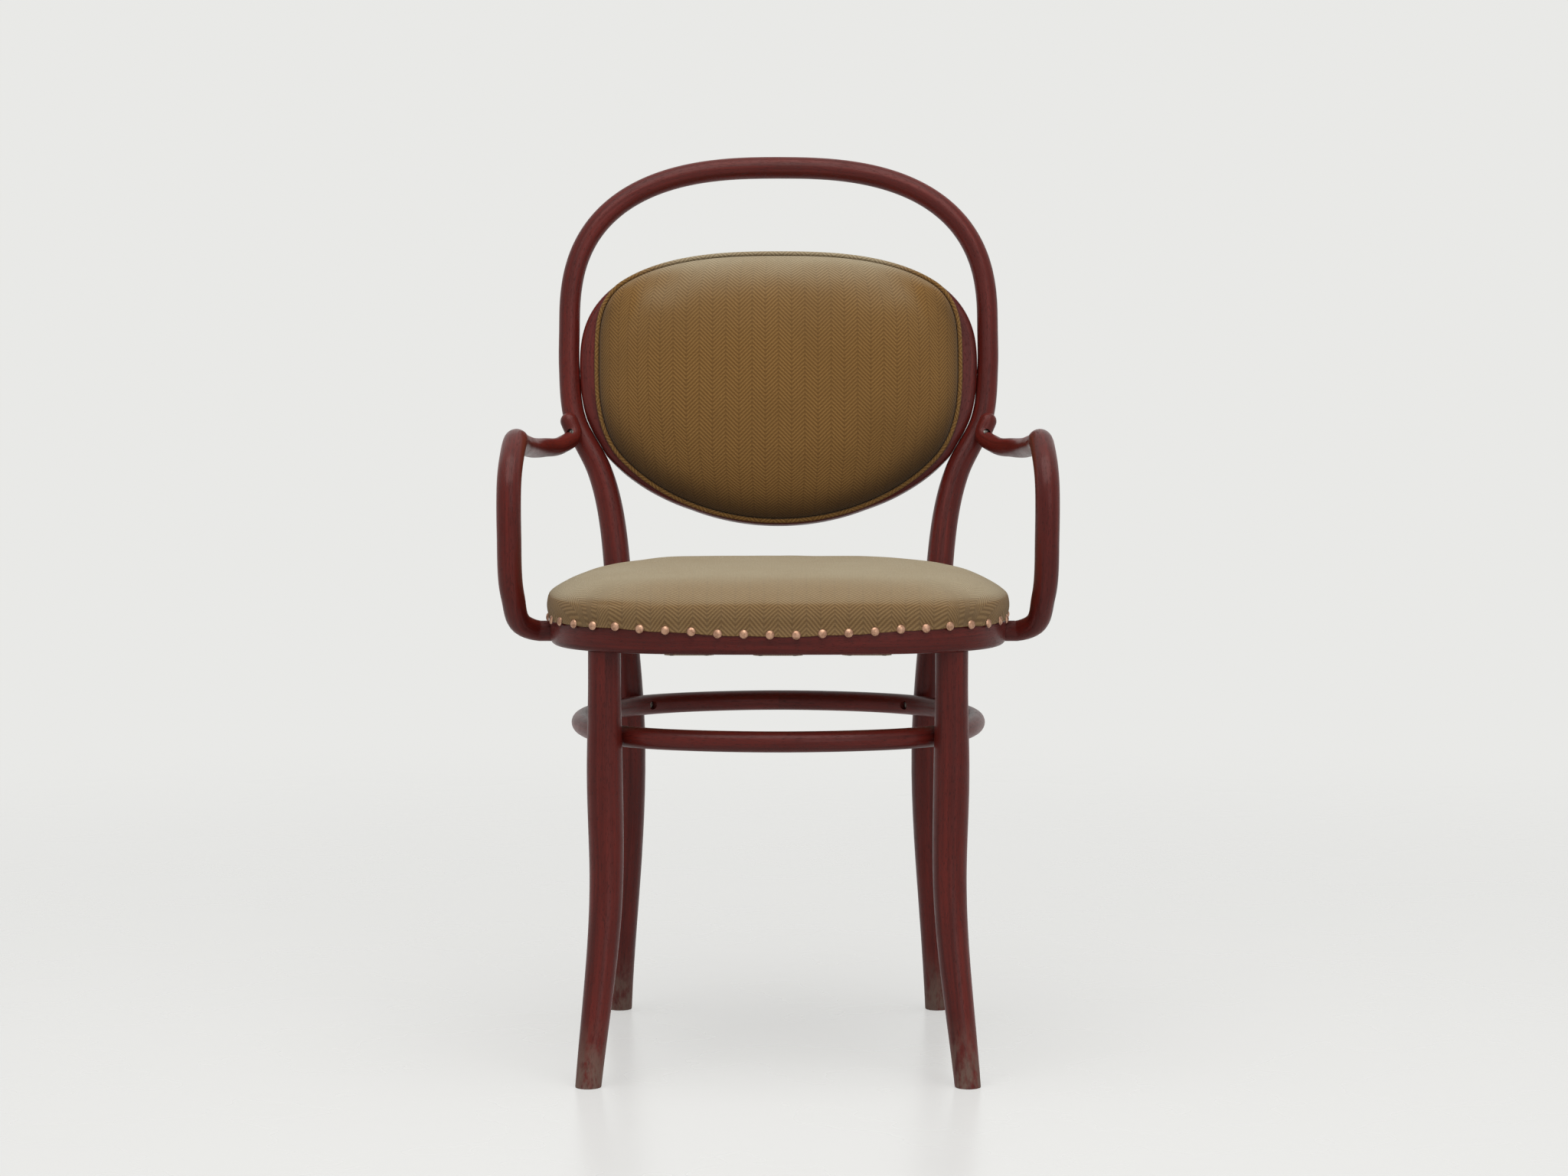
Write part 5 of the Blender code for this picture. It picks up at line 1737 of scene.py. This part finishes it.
def make_screws():
    """The slotted screws of the leg ring, the arms and the hoop, sunk in their holes."""
    profile = [(height, SCREW_HEAD_RADIUS * share) for height, share in SCREW_HEAD]
    head = slotted_head("screw_head", profile, 20, SCREW_SLOT)
    places = [(start + along * SCREW_SINK, -along) for start, along in leg_ring_screws()]
    names = [f"leg_ring_screw_{place}_{side}" for side, _ in SIDES for place in ("front", "rear")]
    for side, sign in SIDES:
        flip = Vector((sign, 1.0, 1.0))
        along = arm_inward * flip
        places.append((arm_tip * flip - along * (ARM_TIP_RADIUS - SCREW_SINK), -along))
        names.append(f"arm_screw_{side}")
        for place, up in (("upper", HOOP_SCREW_PITCH / 2), ("lower", -HOOP_SCREW_PITCH / 2)):
            inner = on_back(((HOOP_HALF_WIDTH - HOOP_WIDTH) * sign, up), -REBATE_DEPTH / 2) + SHIFT
            places.append((inner + Vector((sign * SCREW_SINK, 0.0, 0.0)), Vector((-sign, 0.0, 0.0))))
            names.append(f"hoop_screw_{place}_{side}")
    set_row("wood_screws", places, head, steel, stray=0.0, seed=8, nodes=names)


def make_bolts():
    """The round slotted heads of the bolts behind the posts, with their shanks."""
    dome = [(BOLT_HEAD_HEIGHT * rise, BOLT_HEAD_RADIUS * share) for rise, share in BOLT_DOME]
    profile = [*BOLT_SHANK, *dome]
    head = slotted_head("bolt_head", profile, 28, BOLT_SLOT)
    places = []
    for _, sign in SIDES:
        post, normal = rear_post(sign)
        places.append((post + SHIFT + normal * (POST_RADIUS - BOLT_SEAT + FIT), normal))
    names = [f"rear_bolt_{side}" for side, _ in SIDES]
    set_row("rear_bolts", places, head, steel, stray=0.0, seed=13, nodes=names)


def dress_solids():
    """Finishes for the solids that stay: the hidden board, washers and nuts."""
    finishes = {"back_board": board}
    for side, _ in SIDES:
        finishes[f"rear_washer_{side}"] = steel
        finishes[f"rear_nut_{side}"] = steel
    for name, material in finishes.items():
        for slot in frame["nodes"][name].material_slots:
            slot.material = material


# Stage: floor, light and camera
FLOOR_COLOUR = (0.83, 0.825, 0.81, 1.0)
FLOOR_RINGS = (0.5, 1.0, 1.7, 2.4, 3.2)
FLOOR_SIDES = 64
EVEN_LIGHT = ((0.97, 0.98, 1.0, 1.0), 0.52)
BACKGROUND = ((0.815, 0.815, 0.797, 1.0), 1.0)
CAMERA_PLACE = (0.0059, -5.0, 0.89)
CAMERA_AIM = (0.0059, 0.0, 0.476)
FOCAL_PIXELS = 6341.0
PHOTO_WIDTH = 2048.0
SENSOR = 36.0


def make_floor():
    """A pale disc that thins out into the background."""
    shape = bmesh.new()
    rings = [[shape.verts.new((0.0, 0.0, 0.0))]]
    for radius in FLOOR_RINGS:
        rings.append([shape.verts.new((radius * x, radius * y, 0.0)) for x, y in circle(FLOOR_SIDES)])
    for inner, outer in zip(rings, rings[1:]):
        bridge(shape, outer, inner)
    floor = shape_object("floor", shape)
    finish = Finish("pale_floor", Specular_IOR_Level=0.5)
    place = finish.place()
    far = finish.node("ShaderNodeVectorMath", {"operation": "LENGTH"}, {0: place}, output="Value")
    specks = finish.clouds(place, 5.0, 3.0, 0.5)
    colour = finish.mixed(specks * 0.3, FLOOR_COLOUR, (0.80, 0.795, 0.78, 1.0))
    finish.show(Base_Color=colour, Roughness=0.22 + specks * 0.1, Alpha=0.44 - far.between(0.55, 2.9) * 0.44)
    floor.data.materials.append(finish.material)


def make_world():
    """A pale background for the camera and for reflections, and a soft even light."""
    world = bpy.data.worlds.new("studio")
    bpy.context.scene.world = world
    world.use_nodes = True
    tree = world.node_tree
    tree.nodes.clear()
    rays = add_node(tree, "ShaderNodeLightPath")
    seen = rays.outputs["Is Camera Ray"]
    for name in ("Is Glossy Ray", "Is Transmission Ray"):
        inputs = {0: seen, 1: rays.outputs[name]}
        seen = add_node(tree, "ShaderNodeMath", {"operation": "MAXIMUM"}, inputs).outputs[0]
    shades = []
    for colour, strength in (EVEN_LIGHT, BACKGROUND):
        shade = add_node(tree, "ShaderNodeBackground", None, {"Color": colour, "Strength": strength})
        shades.append(shade.outputs[0])
    both = add_node(tree, "ShaderNodeMixShader", None, {0: seen, 1: shades[0], 2: shades[1]})
    add_node(tree, "ShaderNodeOutputWorld", None, {0: both.outputs[0]})


def set_up(name, data, place, aim):
    """Puts a lamp or the camera at a place and turns it to what it looks at."""
    thing = add_object(name, data)
    thing.location = place
    thing.rotation_euler = (Vector(aim) - Vector(place)).to_track_quat("-Z", "Y").to_euler()
    return thing


def add_light(name, place, aim, size, watts, colour):
    """A soft rectangular lamp."""
    light = bpy.data.lights.new(name, "AREA")
    light.shape = "RECTANGLE"
    light.size, light.size_y = size
    light.energy = watts
    light.color = colour
    set_up(name, light, place, aim)


def make_camera():
    """The camera that stands where the photo's stood."""
    camera = bpy.data.cameras.new("camera")
    camera.sensor_width = SENSOR
    camera.lens = FOCAL_PIXELS / PHOTO_WIDTH * SENSOR
    camera.clip_end = 100.0
    bpy.context.scene.camera = set_up("camera", camera, CAMERA_PLACE, CAMERA_AIM)


make_camera()
make_bow()
make_front_legs()
make_arms()
make_leg_ring()
make_seat_ring()
make_hoop()
make_seat()
make_sacking()
make_back_pad()
make_piping()
make_rear_cover()
make_straps()
make_nails()
make_tacks()
make_screws()
make_bolts()
dress_solids()
for template in [thing for thing in bpy.data.objects if thing.name.endswith("_section")]:
    bpy.data.objects.remove(template)
make_floor()
make_world()
add_light("overhead", (0.0, -0.8, 2.6), (0.0, 0.0, 0.45), (2.6, 2.6), 50.0, (1.0, 0.985, 0.955))
add_light("fill", (1.2, -3.0, 1.3), (0.0, 0.0, 0.5), (1.6, 1.6), 9.0, (0.96, 0.98, 1.0))
bpy.context.scene.view_settings.view_transform = "Standard"
